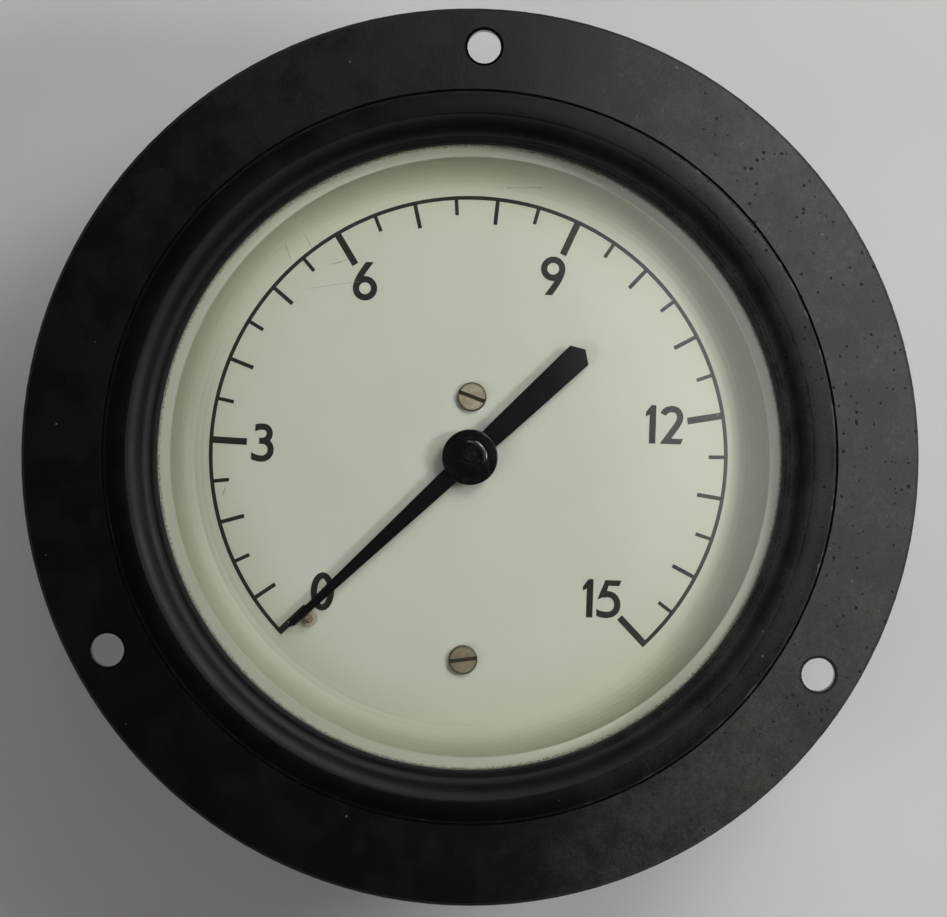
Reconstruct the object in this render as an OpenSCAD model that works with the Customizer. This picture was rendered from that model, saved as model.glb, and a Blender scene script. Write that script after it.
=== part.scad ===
// Flange-mounted aircraft pressure gauge with a coiled pressure tube and a geared movement.
// The dial faces -Y, +Z is up, and Y runs back through the panel.
// The origin is the centre of the bolt circle on the rear face of the flange, which lies on the panel.
// A depth is a distance along +Y from that face, and a front-view point is [x, z].

/* [Flange] */
// Diameter of the mounting flange
flange_d = 149.2; // [146:0.1:160]
// Thickness of the flange
flange_t = 3.2; // [2.6:0.1:5]
// Diameter of the circle that the panel bolts lie on
bolt_circle_d = 136.525; // [135:0.025:138]
// Diameter of a panel bolt hole
bolt_hole_d = 5.56; // [4:0.02:6.4]
// Depth of the chamfer at the front of a bolt hole
bolt_chamfer = 0.45; // [0.2:0.05:0.8]
// Number of panel bolts
bolt_count = 3; // [3:1:6]
// Radius that breaks the edges of the flange
flange_edge_r = 0.5; // [0.2:0.05:1.2]

/* [Case] */
// Outside diameter of the case boss that enters the panel
boss_d = 126.4; // [125.4:0.2:127]
// Length of the boss behind the panel face
boss_h = 8; // [6:0.5:14]
// Outside diameter of the case body
body_d = 121; // [120.4:0.2:123]
// Depth of the case's rear face
case_depth = 42; // [41.6:0.2:60]
// Wall of the case at its side and its back
case_wall = 3; // [2:0.1:3.2]
// Outer radius where the case's side turns into its back
case_corner_r = 5; // [3.6:0.2:6]

/* [Bezel and window] */
// Diameter of the opening in the bezel
window_d = 104.2; // [100:0.2:105]
// Width of the low lip round the opening
lip_w = 2.1; // [1:0.1:2.4]
// Diameter across the inner edge of the bezel's flat band
band_in_d = 113.2; // [112:0.2:116]
// Outside diameter of the bezel ring
bezel_d = 121.7; // [120.6:0.1:122.2]
// Radial width of the seam between the bezel ring and the case
seam_w = 0.4; // [0.1:0.05:0.6]
// Height of the bezel band above the flange
bezel_proud = 0.4; // [0:0.1:1.5]
// Depth of the lip's front face
lip_depth = -0.9; // [-1.6:0.1:-0.4]
// Depth of the window's front face
glass_front = 0.9; // [0.4:0.1:2]
// Diameter of the window
glass_d = 118.4; // [117.4:0.2:118.8]
// Thickness of the window
glass_t = 2.5; // [2:0.1:4]
// Thickness of the rubber gasket behind the window
gasket_t = 1.6; // [1:0.1:2.4]

/* [Dial] */
// Outside diameter of the dial's lip
dial_d = 114; // [109:0.2:114.4]
// Inner diameter of the dial's lip, where the cove ends
cove_d = 100.9; // [99:0.1:103]
// Diameter of the flat face inside the cove
dial_flat_d = 89; // [86:0.2:94]
// Distance from the window back to the dial's lip
lip_gap = 1; // [0.4:0.1:2]
// Depth of the dished face behind its lip
dish_h = 4.6; // [4:0.1:7]
// Thickness of the dial sheet
dial_t = 0.8; // [0.5:0.05:1.2]
// Diameter of the clearance hole round the pointer shaft
dial_hole_d = 6.4; // [5:0.1:7.5]
// Height of the upper dial screw above the centre
upper_screw_z = 10.2; // [10:0.1:11.5]
// Distance of the lower dial screw below the centre
lower_screw_drop = 34.2; // [33:0.1:36]

/* [Pointer] */
// Distance from the centre to the pointer's tip
pointer_reach = 42; // [36:0.1:43.5]
// Width of the needle where it leaves the hub
needle_w = 3; // [2:0.1:4]
// Width of the needle just before its point
needle_tip_w = 1.16; // [0.8:0.02:1.6]
// Distance from the centre to the square corners of the tail
tail_reach = 25.2; // [18:0.1:30]
// Width of the tail where it leaves the hub
tail_w = 3.5; // [2.4:0.1:4]
// Width of the tail at its end
tail_end_w = 4.48; // [3.6:0.02:6]
// Length of the tail's blunt arrow end
tail_point = 1.4; // [0.6:0.1:3]
// Thickness of the pointer sheet
pointer_t = 0.5; // [0.3:0.05:0.8]
// Clear height of the pointer above the dial face
pointer_gap = 2.4; // [1.8:0.1:2.6]
// Diameter of the round pointer hub
hub_d = 9.4; // [8:0.1:12]
// Thickness of the hub's disc
hub_t = 0.9; // [0.6:0.1:1.2]
// Angle of the zero mark, clockwise from the top
zero_clock = 225; // [220:1:230]
// Distance from the centre to the stop pin
stop_reach = 38.4; // [32:0.1:40]
// Diameter of the stop pin's post
stop_d = 1.4; // [1:0.05:1.8]

/* [Pressure tube] */
// Radius of the tube's coil at its middle
coil_r = 44; // [43.4:0.1:46]
// Width of the flattened tube along the gauge's axis
tube_w = 13; // [10:0.1:13.6]
// Thickness of the flattened tube
tube_t = 4.4; // [3.2:0.1:5]
// Wall of the tube
tube_wall = 0.5; // [0.3:0.05:0.9]
// Angle of the tube's free end, anticlockwise from +X
tip_angle = 2; // [0:0.5:6]
// Depth of the tube's middle behind the panel face
tube_depth = 24; // [23.4:0.1:25]
// How far the tube is let into the socket
root_engage = 5; // [3:0.1:7]

/* [Socket] */
// Width of the socket block
socket_w = 18; // [16:0.5:20]
// Distance from the centre down to the pressure connection
stem_drop = 36; // [35.4:0.1:38]
// Thickness of the socket's pad against the back of the case
pad_t = 5; // [4:0.1:5.2]
// Diameter of the threaded stem over its threads
thread_d = 13.716; // [12.6:0.002:14.2]
// Length of the thread
thread_len = 15; // [12:0.5:20]
// Width of the wrench flats across the hexagon
hex_af = 14.3; // [14.2:0.1:15.6]
// Length of the hexagon behind the case
hex_len = 11; // [8:0.5:16]
// Diameter of the pressure passage
port_d = 4; // [3:0.1:5]

/* [Movement] */
// Size of a gear tooth, as pitch diameter over number of teeth
tooth_module = 0.4; // [0.38:0.01:0.42]
// Number of teeth on the pinion
pinion_teeth = 14; // [13:1:15]
// Turns of the pinion for one turn of the sector gear
gear_ratio = 10; // [10:1:11]
// Swing of the sector gear over the whole scale
sector_swing = 27; // [20:1:30]
// Spare teeth past each end of the swing
spare_teeth = 2; // [1:1:3]
// Angle of the sector's pivot below +X, seen from the pinion
sector_bearing = 35; // [33:0.5:37]
// Distance from the sector's pivot to the link's pin
tail_arm = 6.5; // [6:0.1:7]
// Angle of the tail below +X at zero
tail_angle = 24; // [20:0.5:28]
// Distance between the two pins of the link
link_len = 20; // [19:0.1:21.5]
// Lean of the link at zero, clockwise from straight up
link_tilt = 10; // [8:0.5:14]
// Thickness of a movement plate
plate_t = 1.5; // [1:0.05:1.6]
// Distance between the two movement plates
plate_gap = 9; // [8.8:0.1:9.6]
// Distance from the dial back to the front movement plate
dial_standoff = 3.7; // [3.2:0.1:4.4]
// Thickness of the sector gear
sector_t = 1.6; // [1.2:0.1:1.8]
// Thickness of the link
link_t = 1; // [0.6:0.1:1.1]
// Diameter of the pinion shaft
arbor_d = 1.8; // [1.4:0.05:2]
// Number of turns in the hairspring
hair_turns = 5; // [3:1:6]
// Thickness of the hairspring strip
hair_t = 0.2; // [0.15:0.01:0.3]
// Height of the hairspring strip
hair_h = 1; // [0.6:0.1:1.2]

/* [Screws] */
// Head diameter of a dial screw
dial_screw_head_d = 4.9; // [4:0.1:5.4]
// Shank diameter of a dial screw
dial_screw_d = 2.8; // [2.2:0.1:3]
// Head diameter of a case screw
case_screw_head_d = 7.2; // [6.4:0.1:7.6]
// Shank diameter of a case screw
case_screw_d = 4; // [3.4:0.1:4.2]
// Head diameter of a movement screw
plate_screw_head_d = 4.2; // [3.6:0.1:4.6]
// Shank diameter of a movement screw
plate_screw_d = 2.2; // [1.8:0.1:2.4]

/* [Fits] */
// Radial gap of a seated or screwed fit
seat_fit = 0.02; // [0.01:0.005:0.04]
// Radial gap of a shaft that turns in its hole
running_fit = 0.05; // [0.03:0.01:0.08]
// Radial gap of the link's upper hole round its pin
link_slack = 0.15; // [0.14:0.01:0.2]
// Radial gap of a screw in its clearance hole
screw_gap = 0.2; // [0.1:0.05:0.3]
// Gap along the axis between parts that move past each other
side_gap = 0.3; // [0.2:0.05:0.35]
// Total backlash between sector and pinion
backlash = 0.08; // [0.05:0.01:0.12]

/* [Hidden] */
$fn = 72;

black_paint = [0.10, 0.10, 0.10];
cream_paint = [0.80, 0.82, 0.74];
brass = [0.72, 0.60, 0.34];
steel = [0.62, 0.62, 0.60];
nickel = [0.66, 0.63, 0.55];
bronze = [0.66, 0.50, 0.30];
rubber = [0.14, 0.14, 0.13];

// Depths from the window back
glass_back = glass_front + glass_t;
shoulder_y = glass_back + gasket_t;
lip_y = glass_back + lip_gap;
face_y = lip_y + dish_h;
dial_back = face_y + dial_t;
front_plate_y = dial_back + dial_standoff;
gap_front = front_plate_y + plate_t;
rear_plate_y = gap_front + plate_gap;
tongue_y = rear_plate_y + plate_t;
back_y = case_depth - case_wall;
socket_gasket_t = 0.6;
pad_back = back_y - socket_gasket_t;
pad_front = pad_back - pad_t;

// Radii and edges of the case and the bezel
flange_r = flange_d / 2;
boss_r = boss_d / 2;
body_r = body_d / 2;
bore_r = body_r - case_wall;
bezel_r = bezel_d / 2;
mouth_r = bezel_r + seam_w;
glass_r = glass_d / 2;
seat_r = glass_r + 0.3;
window_r = window_d / 2;
bezel_front = -flange_t - bezel_proud;

// Pointer depths, from the blade forward to the hub
blade_back = face_y - pointer_gap;
blade_front = blade_back - pointer_t;
hub_front = blade_front - hub_t;
hub_bore_r = 1.9;
point_start = pointer_reach - needle_tip_w;

// Gear sizes
pinion_r = tooth_module * pinion_teeth / 2;
sector_r = pinion_r * gear_ratio;
sector_teeth = pinion_teeth * gear_ratio;
pressure_angle = 20;
pivot = (pinion_r + sector_r) * [cos(sector_bearing), -sin(sector_bearing)];
mesh_angle = 180 - sector_bearing;
tooth_step = 360 / sector_teeth;
swing_teeth = ceil(sector_swing / tooth_step);

// Depths of the parts between the movement plates
hair_rise = 0.6;
sector_rise = 3;
pinion_lead = 0.8;
hair_y = gap_front + hair_rise;
sector_y = gap_front + sector_rise;
link_y = sector_y + sector_t + side_gap;
lug_y = link_y + link_t + side_gap;
lug_t = 1.8;
pinion_y = sector_y - pinion_lead;
pinion_len = sector_t + pinion_lead + 1;
pinion_pivot_r = 0.6;
sector_pivot_r = 0.7;
sector_hub_r = 1.5;
pivot_short = 0.1;

// Hairspring, from its collet out to its stud
collet_r = 2.1;
hair_in_r = collet_r + hair_t / 2 + 0.1;
hair_out_r = 8;
hair_end_angle = 145;
hair_stud_r = 1.1;
hair_stud_pin_r = 0.6;
hair_stud_point = (hair_out_r + hair_t / 2 + hair_stud_r) * [cos(hair_end_angle), sin(hair_end_angle)];

// Pins of the linkage
pin_r = 0.7;
span_nut_t = 1.3;
tail_pin = pivot + tail_arm * [cos(tail_angle), -sin(tail_angle)];
top_pin = tail_pin + link_len * [sin(link_tilt), cos(link_tilt)];

// Movement frame, as front-view points
pillar_r = 2;
pillar_side = 9;
pillar_high = 10;
pillar_low = 16;
pillar_tap = 4;
pivot_pillar = pivot + [1.8, -9.3];
pillar_points = [[-pillar_side, pillar_high], [-pillar_side, -pillar_low], pivot_pillar];
plate_land = 4.5;
plate_corner = 3;
plate_left = -pillar_side - plate_land;
plate_right = pivot_pillar.x + plate_land;
plate_top = upper_screw_z + plate_land;
plate_low = -pillar_low - plate_land;
plate_foot = pivot_pillar.y - plate_land;
plate_outline = [[plate_left, plate_top], [plate_left, plate_low], [pivot.x - 2 * plate_land, plate_low],
    [pivot_pillar.x - plate_land, plate_foot], [plate_right, plate_foot],
    [plate_right, pivot.y + plate_land], [plate_land * 1.5, plate_top]];
movement_screw_side = 4;
movement_screw_z = -17;
movement_screw_points = [[-movement_screw_side, movement_screw_z], [movement_screw_side, movement_screw_z]];

// Socket block, as heights of its faces
stem_point = [0, -stem_drop];
block_rise = 9;
block_top = -stem_drop + block_rise;
block_low = -coil_r - tube_t / 2 - tube_t * 0.7;
tongue_top = -12;
tongue_t = 6;
tongue_lap = 5;
tongue_inset = 1.5;
hex_hole_r = hex_af / sqrt(3) + 0.7;

// Pad of the socket, with a land round each of the three screws that lie about the stem
case_screw_r = 13;
screw_land = 4.5;
case_screw_points = arc(stem_point, case_screw_r, 90, 330, 2);
pad_half = case_screw_r * cos(30) + screw_land;
pad_top = -stem_drop + case_screw_r + screw_land;
pad_low = -stem_drop - case_screw_r / 2 - screw_land;
pad_waist = pad_low + 2 * screw_land;
pad_corner = 3.5;
pad_outline = [[-screw_land, pad_top], [-pad_half, pad_waist], [-pad_half, pad_low], [pad_half, pad_low],
    [pad_half, pad_waist], [screw_land, pad_top]];

// Where the tube enters the socket, and the post of the upper dial screw
root_angle = 270 - asin((socket_w / 2 - root_engage) / coil_r);
post_r = 3.5;
post_neck_r = post_r - 0.7;
hex_back = case_depth + hex_len;
thread_start = hex_back + 1;
stem_end = thread_start + thread_len;
block_front = dial_back + dial_standoff + 0.5;
dial_tap = dial_standoff - 0.8;
post_rivet_r = 1.3;

// Points of an arc about c with radius r, from angle a to angle b
function arc(c, r, a, b, n = 6) =
    [for (i = [0:n]) let (t = a + (b - a) * i / n) c + r * [cos(t), sin(t)]];

function unit(v) = v / norm(v);
function short_turn(a) = a > 180 ? a - 360 : a < -180 ? a + 360 : a;

// Corner p between the points before and after it, rounded to radius r
function corner(before, p, after, r, n = 5) =
    let (u = unit(before - p), v = unit(after - p))
    let (half = acos(u * v) / 2)
    let (c = p + unit(u + v) * r / sin(half))
    let (s = p + u * r / tan(half) - c, e = p + v * r / tan(half) - c)
    let (a = atan2(s.y, s.x))
    arc(c, r, a, a + short_turn(atan2(e.y, e.x) - a), n);

// Closed outline with each corner rounded to radius r
function rounded(pts, r, n = 5) =
    let (m = len(pts))
    [for (i = [0:m - 1]) each corner(pts[(i + m - 1) % m], pts[i], pts[(i + 1) % m], r, n)];

// Outline with straight sides of length w and half-round ends, t across
function stadium(w, t, n = 8) =
    concat(arc([0, (w - t) / 2], t / 2, 0, 180, n), arc([0, (t - w) / 2], t / 2, 180, 360, n));

// Half angle of an involute tooth at radius r, from its half angle at the pitch radius
function involute(a) = tan(a) * 180 / PI - a;
function half_tooth(r, pitch, base, half) =
    half + involute(pressure_angle) - involute(acos(min(1, base / max(r, base))));

// One tooth about the angle mid, from its root up and over its tip
function tooth(mid, pitch, root, tip, half, n = 5) =
    let (base = pitch * cos(pressure_angle))
    let (r = [for (i = [0:n]) root + (tip - root) * i / n])
    concat([for (i = [0:n]) let (a = mid - half_tooth(r[i], pitch, base, half)) r[i] * [cos(a), sin(a)]],
        [for (i = [n:-1:0]) let (a = mid + half_tooth(r[i], pitch, base, half)) r[i] * [cos(a), sin(a)]]);

// Half angle of a tooth at the pitch radius, thinned by its share of the backlash
function pitch_half(pitch, teeth) = 90 / teeth - backlash / 4 / pitch * 180 / PI;

// Front-view outline made into a slab from depth y back by t
module slab(y, t) {
    translate([0, y + t, 0]) rotate([90, 0, 0]) linear_extrude(t) children();
}

// Round bar along Y through a front-view point
module bar(at, r, y, len) {
    translate([at.x, y, at.y]) rotate([-90, 0, 0]) cylinder(r = r, h = len);
}

// Body turned about the Y axis from points of radius and depth
module turned(profile, at = [0, 0]) {
    translate([at.x, 0, at.y]) rotate([-90, 0, 0]) rotate_extrude() polygon(profile);
}

// Slotted cheese-head screw with its head seated at depth y. Side 1 points its shank back, -1 forward.
module screw(at, y, head_d, head_h, shank_d, shank_len, slot_a = 0, side = 1) {
    edge = head_h * 0.2;
    slot_w = head_d * 0.14;
    translate([at.x, y, at.y]) rotate([-90 * side, 0, 0]) difference() {
        rotate_extrude() polygon([[0, -head_h], [head_d / 2 - edge, -head_h], [head_d / 2, edge - head_h],
            [head_d / 2, 0], [shank_d / 2, 0], [shank_d / 2, shank_len - 0.3],
            [shank_d / 2 - 0.3, shank_len], [0, shank_len]]);
        rotate([0, 0, slot_a]) translate([-head_d, -slot_w / 2, -head_h * 1.5])
            cube([head_d * 2, slot_w, head_h]);
    }
}

// Cast aluminium cup with its flange, a stepped mouth for window and bezel, and holes for the socket
module case_shell() {
    p = [[mouth_r, -flange_t], [flange_r, -flange_t], [flange_r, 0], [boss_r, 0], [boss_r, boss_h],
        [body_r, boss_h], [body_r, case_depth], [0, case_depth], [0, back_y], [bore_r, back_y]];
    color(black_paint) difference() {
        turned(concat([p[0]], corner(p[0], p[1], p[2], flange_edge_r), corner(p[1], p[2], p[3], 0.3),
            [p[3]], corner(p[3], p[4], p[5], 0.8), [p[5]], corner(p[5], p[6], p[7], case_corner_r),
            [p[7], p[8]], corner(p[8], p[9], [bore_r, 0], 2.4), [[bore_r, shoulder_y],
            [seat_r, shoulder_y], [seat_r, glass_front], [mouth_r, glass_front]]));
        for (i = [0:bolt_count - 1]) rotate([0, i * 360 / bolt_count, 0]) {
            bar([0, bolt_circle_d / 2], bolt_hole_d / 2, -flange_t - 1, flange_t + 2);
            translate([0, -flange_t - 1, bolt_circle_d / 2]) rotate([-90, 0, 0])
                cylinder(r1 = bolt_hole_d / 2 + bolt_chamfer + 1, r2 = bolt_hole_d / 2,
                    h = bolt_chamfer + 1);
        }
        bar(stem_point, hex_hole_r, back_y - 1, case_wall + 2);
        for (at = case_screw_points) bar(at, case_screw_d / 2 + screw_gap, back_y - 1, case_wall + 2);
    }
}

// Threaded ring that holds the window, with a flat band, a steep inner slope and a low rounded lip
module bezel_ring() {
    front = [[bezel_r, glass_front], [bezel_r, bezel_front], [band_in_d / 2, bezel_front],
        [window_r + lip_w, lip_depth], [window_r, lip_depth], [window_r, glass_front]];
    outer_edge = 0.35;
    slope_edge = 1;
    slope_foot = 0.9;
    lip_edge = 0.6;
    color(black_paint) turned(concat([front[0]], corner(front[0], front[1], front[2], outer_edge),
        corner(front[1], front[2], front[3], slope_edge), corner(front[2], front[3], front[4], slope_foot),
        corner(front[3], front[4], front[5], lip_edge), [front[5]]));
}

// Round pane of clear glass with ground edges
module window_glass() {
    ground = 0.3;
    color([0.8, 0.9, 0.9, 0.4]) turned([[0, glass_front], [glass_r - ground, glass_front],
        [glass_r, glass_front + ground], [glass_r, glass_back - ground],
        [glass_r - ground, glass_back], [0, glass_back]]);
}

// Flat rubber ring between the window and the case's shoulder
module glass_gasket() {
    inner = bore_r + 0.2;
    color(rubber) turned([[inner, glass_back], [glass_r, glass_back], [glass_r, shoulder_y],
        [inner, shoulder_y]]);
}

// Pressed dial: a flat face, a hollow cove that rises from it, and a lip behind the window
module dial() {
    flat_r = dial_flat_d / 2;
    rise = cove_d / 2 - flat_r;
    steps = 9;
    function cove(out, y) = [for (i = [0:steps]) let (a = 90 * i / steps)
        [flat_r + out * sin(a), y - dish_h * (1 - cos(a))]];
    back = cove(rise + dial_t, dial_back);
    color(cream_paint) difference() {
        turned(concat([[dial_hole_d / 2, face_y]], cove(rise, face_y),
            [[dial_d / 2, lip_y], [dial_d / 2, lip_y + dial_t]],
            [for (i = [steps:-1:0]) back[i]], [[dial_hole_d / 2, dial_back]]));
        for (z = [upper_screw_z, -lower_screw_drop])
            bar([0, z], dial_screw_d / 2 + screw_gap, face_y - 1, dial_t + 2);
        bar(stop_point(), stop_d / 2 + seat_fit, face_y - 1, dial_t + 2);
    }
}

// Two slotted screws that hold the dial to the movement and to the socket
module dial_screws() {
    head_h = 1.2;
    slots = [19, -9];
    color(nickel) for (i = [0:1])
        screw([0, [upper_screw_z, -lower_screw_drop][i]], face_y, dial_screw_head_d, head_h, dial_screw_d,
            dial_t + dial_tap - 0.2, slots[i]);
}

// Round post riveted to the front movement plate and tapped for the upper dial screw
module dial_post() {
    color(brass) difference() {
        turned([[0, dial_back], [post_neck_r, dial_back], [post_neck_r, front_plate_y],
            [post_rivet_r, front_plate_y], [post_rivet_r, gap_front + 0.2], [0, gap_front + 0.2]],
            [0, upper_screw_z]);
        bar([0, upper_screw_z], dial_screw_d / 2 + seat_fit, dial_back - 1, dial_tap + 1);
    }
}

// Front-view point of the stop pin, which the needle's edge rests on at zero
function stop_point() =
    let (a = 90 - zero_clock)
    let (side = stop_d / 2 + needle_half(stop_reach) + running_fit)
    stop_reach * [cos(a), sin(a)] + side * [-sin(a), cos(a)];

// Half width of the needle at a distance from the centre
function needle_half(r) =
    needle_w / 2 + (needle_tip_w - needle_w) / 2 * (r - hub_d / 2) / (point_start - hub_d / 2);

// Stop pin with a collar on the dial's face and a riveted end behind it
module stop_pin() {
    p = stop_d / 2;
    rivet = 0.4;
    color(nickel) turned([[0, blade_front - 0.2], [p - 0.15, blade_front - 0.2], [p, blade_front - 0.05],
        [p, face_y - 0.5], [p * 2, face_y - 0.5], [p * 2, face_y], [p, face_y], [p, dial_back],
        [p * 1.7, dial_back], [p * 1.7, dial_back + rivet], [0, dial_back + rivet]], stop_point());
}

// Brass block that carries the tube, the movement and the pipe thread, with the pressure passage in it
module socket() {
    half = socket_w / 2;
    side = half - tongue_inset;
    tongue = [[-side, tongue_top], [-side, block_top - tongue_lap], [side, block_top - tongue_lap],
        [side, tongue_top]];
    block = [[-half, block_top], [-half, block_low], [half, block_low], [half, block_top]];
    edge = 1.5;
    thread_depth = 1.4;
    thread_lead = 0.8;
    root = coil_r * [cos(root_angle), sin(root_angle)];
    reach = root - stem_point;
    color(brass) difference() {
        union() {
            slab(block_front, pad_front - block_front) polygon(rounded(block, edge));
            slab(pad_front, pad_t) polygon(rounded(pad_outline, pad_corner));
            slab(tongue_y, tongue_t) polygon(rounded(tongue, edge));
            bar([0, -lower_screw_drop], post_r, dial_back, block_front - dial_back + 1);
            translate([0, pad_back - 1, -stem_drop]) rotate([-90, 0, 0]) rotate([0, 0, 30])
                cylinder(d = hex_af / cos(30), h = hex_back - pad_back + 1, $fn = 6);
            turned([[0, hex_back - 1], [thread_d / 2 - thread_depth, hex_back - 1],
                [thread_d / 2 - thread_depth, thread_start], [thread_d / 2, thread_start + thread_lead],
                [thread_d / 2, stem_end - 1], [thread_d / 2 - 1, stem_end], [0, stem_end]], stem_point);
        }
        tube_bar(stadium(tube_w + 2 * seat_fit, tube_t + 2 * seat_fit), root_angle - 60, 60);
        bar([0, -lower_screw_drop], dial_screw_d / 2 + seat_fit, dial_back - 1, dial_tap + 1);
        bar(stem_point, port_d / 2, tube_depth, stem_end - tube_depth + 1);
        translate([0, tube_depth + port_d / 2, -stem_drop])
            rotate([0, 90 - atan2(reach.y, reach.x), 0]) cylinder(d = port_d * 0.7, h = norm(reach));
        for (at = movement_screw_points)
            bar(at, plate_screw_d / 2 + seat_fit, tongue_y - 1, tongue_t - 0.4);
        for (at = case_screw_points)
            bar(at, case_screw_d / 2 + seat_fit, pad_front - 1, pad_t + 2);
    }
}

// Flat gasket between the socket's pad and the back of the case
module socket_gasket() {
    color(rubber) difference() {
        slab(pad_back, socket_gasket_t) polygon(rounded(pad_outline, pad_corner));
        bar(stem_point, hex_hole_r, pad_back - 1, socket_gasket_t + 2);
        for (at = case_screw_points)
            bar(at, case_screw_d / 2 + screw_gap, pad_back - 1, socket_gasket_t + 2);
    }
}

// Three screws from behind that hold the socket to the case
module case_screws() {
    head_h = 2.6;
    slots = [35, -20, 70];
    color(steel) for (i = [0:2])
        screw(case_screw_points[i], case_depth, case_screw_head_d, head_h, case_screw_d,
            case_wall + socket_gasket_t + pad_t - 0.6, slots[i], -1);
}

// Slotted plug with a pinhole, screwed into the mouth of the pressure passage
module restrictor() {
    len = 4;
    y = stem_end - 3 - len;
    color(brass) difference() {
        bar(stem_point, port_d / 2 - seat_fit, y, len);
        bar(stem_point, 0.3, y - 1, len + 2);
        translate([-port_d, y + len - 0.8, -stem_drop - 0.3]) cube([port_d * 2, 1, 0.6]);
    }
}

// Arc of a flattened section about the gauge's axis, from angle a on through span
module tube_bar(section, a, span) {
    translate([0, tube_depth, 0]) rotate([90, 0, 0]) rotate([0, 0, a])
        rotate_extrude(angle = span) translate([coil_r, 0]) polygon(section);
}

// Flattened hollow tube that uncoils as the pressure in it rises
module pressure_tube() {
    color(bronze) difference() {
        tube_bar(stadium(tube_w, tube_t), tip_angle, root_angle - tip_angle);
        tube_bar(stadium(tube_w - 2 * tube_wall, tube_t - 2 * tube_wall), tip_angle - 2,
            root_angle - tip_angle + 4);
    }
}

// Outline of a movement plate, with its pillar holes
module plate_shape(hole_r) {
    difference() {
        polygon(rounded(plate_outline, plate_corner));
        for (at = pillar_points) translate(at) circle(r = hole_r);
    }
}

// Rear plate of the movement, with the two rear bearings and the holes for its mounting screws
module rear_plate() {
    color(brass) slab(rear_plate_y, plate_t) difference() {
        plate_shape(plate_screw_d / 2 + seat_fit);
        circle(r = pinion_pivot_r + running_fit);
        translate(pivot) circle(r = sector_pivot_r + running_fit);
        for (at = movement_screw_points) translate(at) circle(r = plate_screw_d / 2 + screw_gap);
    }
}

// Front plate of the movement, with the two front bearings
module front_plate() {
    color(brass) slab(front_plate_y, plate_t) difference() {
        plate_shape(plate_screw_d / 2 + screw_gap);
        circle(d = arbor_d + 2 * running_fit);
        translate(pivot) circle(r = sector_pivot_r + running_fit);
        translate(hair_stud_point) circle(r = hair_stud_pin_r + seat_fit);
        translate([0, upper_screw_z]) circle(r = post_rivet_r + seat_fit);
    }
}

// Pillars between the plates, riveted to the rear one and tapped at the front
module pillars() {
    rivet = 0.4;
    color(brass) for (at = pillar_points) difference() {
        turned([[0, gap_front], [pillar_r, gap_front], [pillar_r, rear_plate_y],
            [plate_screw_d / 2, rear_plate_y], [plate_screw_d / 2, tongue_y + rivet],
            [0, tongue_y + rivet]], at);
        bar(at, plate_screw_d / 2 + seat_fit, gap_front - 1, pillar_tap + 1);
    }
}

// Screws that hold the front plate to the pillars
module pillar_screws() {
    head_h = 1.2;
    slots = [0, 50, 100];
    color(steel) for (i = [0:2])
        screw(pillar_points[i], front_plate_y, plate_screw_head_d, head_h, plate_screw_d,
            plate_t + pillar_tap - 0.4, slots[i]);
}

// Screws that hold the rear plate to the socket's tongue
module movement_screws() {
    head_h = 1.4;
    slots = [20, 90];
    color(steel) for (i = [0:1])
        screw(movement_screw_points[i], rear_plate_y, plate_screw_head_d, head_h, plate_screw_d,
            plate_t + tongue_t * 0.65, slots[i]);
}

// Flat spiral spring that keeps the pinion against one side of the sector's teeth
module hairspring() {
    steps = 24;
    n = hair_turns * steps;
    a0 = hair_end_angle - 360 * hair_turns;
    function spiral(offset) = [for (i = [0:n]) let (a = a0 + 360 * i / steps)
        (hair_in_r + (hair_out_r - hair_in_r) * i / n + offset) * [cos(a), sin(a)]];
    outside = spiral(hair_t / 2);
    color(steel) slab(hair_y, hair_h)
        polygon(concat(spiral(-hair_t / 2), [for (i = [n:-1:0]) outside[i]]));
}

// Stud on the front plate that holds the hairspring's outer end
module hairspring_stud() {
    front = front_plate_y - 0.2;
    back = hair_y + hair_h + 0.4;
    color(brass) turned([[0, front], [hair_stud_pin_r, front], [hair_stud_pin_r, gap_front],
        [hair_stud_r, gap_front], [hair_stud_r, back], [0, back]], hair_stud_point);
}

// Toothed sector with its fan, hub and slotted tail
module sector_gear() {
    half = pitch_half(sector_r, sector_teeth);
    low = -swing_teeth - spare_teeth;
    tip = sector_r + 0.8 * tooth_module;
    root = sector_r - 1.25 * tooth_module;
    teeth = [for (i = [low:spare_teeth])
        each tooth(mesh_angle + i * tooth_step, sector_r, root, tip, half)];
    ends = [for (a = [mesh_angle + (spare_teeth + 1) * tooth_step, mesh_angle + (low - 1) * tooth_step])
        root * [cos(a), sin(a)]];
    mid = mesh_angle + (low + spare_teeth) / 2 * tooth_step;
    rim = 3;
    web = 8;
    window = concat(arc([0, 0], root - rim, mid - 13, mid + 13, 8), arc([0, 0], web, mid + 6, mid - 6, 4));
    tail_half = 2.2;
    tail_end = tail_arm + 3;
    tail = [[0, -tail_half], [tail_end, -tail_half], [tail_end, tail_half], [0, tail_half]];
    slot_half = pin_r + 0.1;
    slot_in = tail_arm - 1.6;
    slot_out = tail_arm + 1.6;
    slot = [[slot_in, -slot_half], [slot_out, -slot_half], [slot_out, slot_half], [slot_in, slot_half]];
    color(brass) slab(sector_y, sector_t) translate(pivot) difference() {
        union() {
            polygon(concat([ends[1]], teeth, [ends[0], [0, 0]]));
            circle(r = 3.4);
            rotate(-tail_angle) polygon(rounded(tail, 1));
        }
        polygon(window);
        rotate(-tail_angle) polygon(rounded(slot, 0.6));
        circle(r = sector_hub_r + seat_fit);
    }
}

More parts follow.
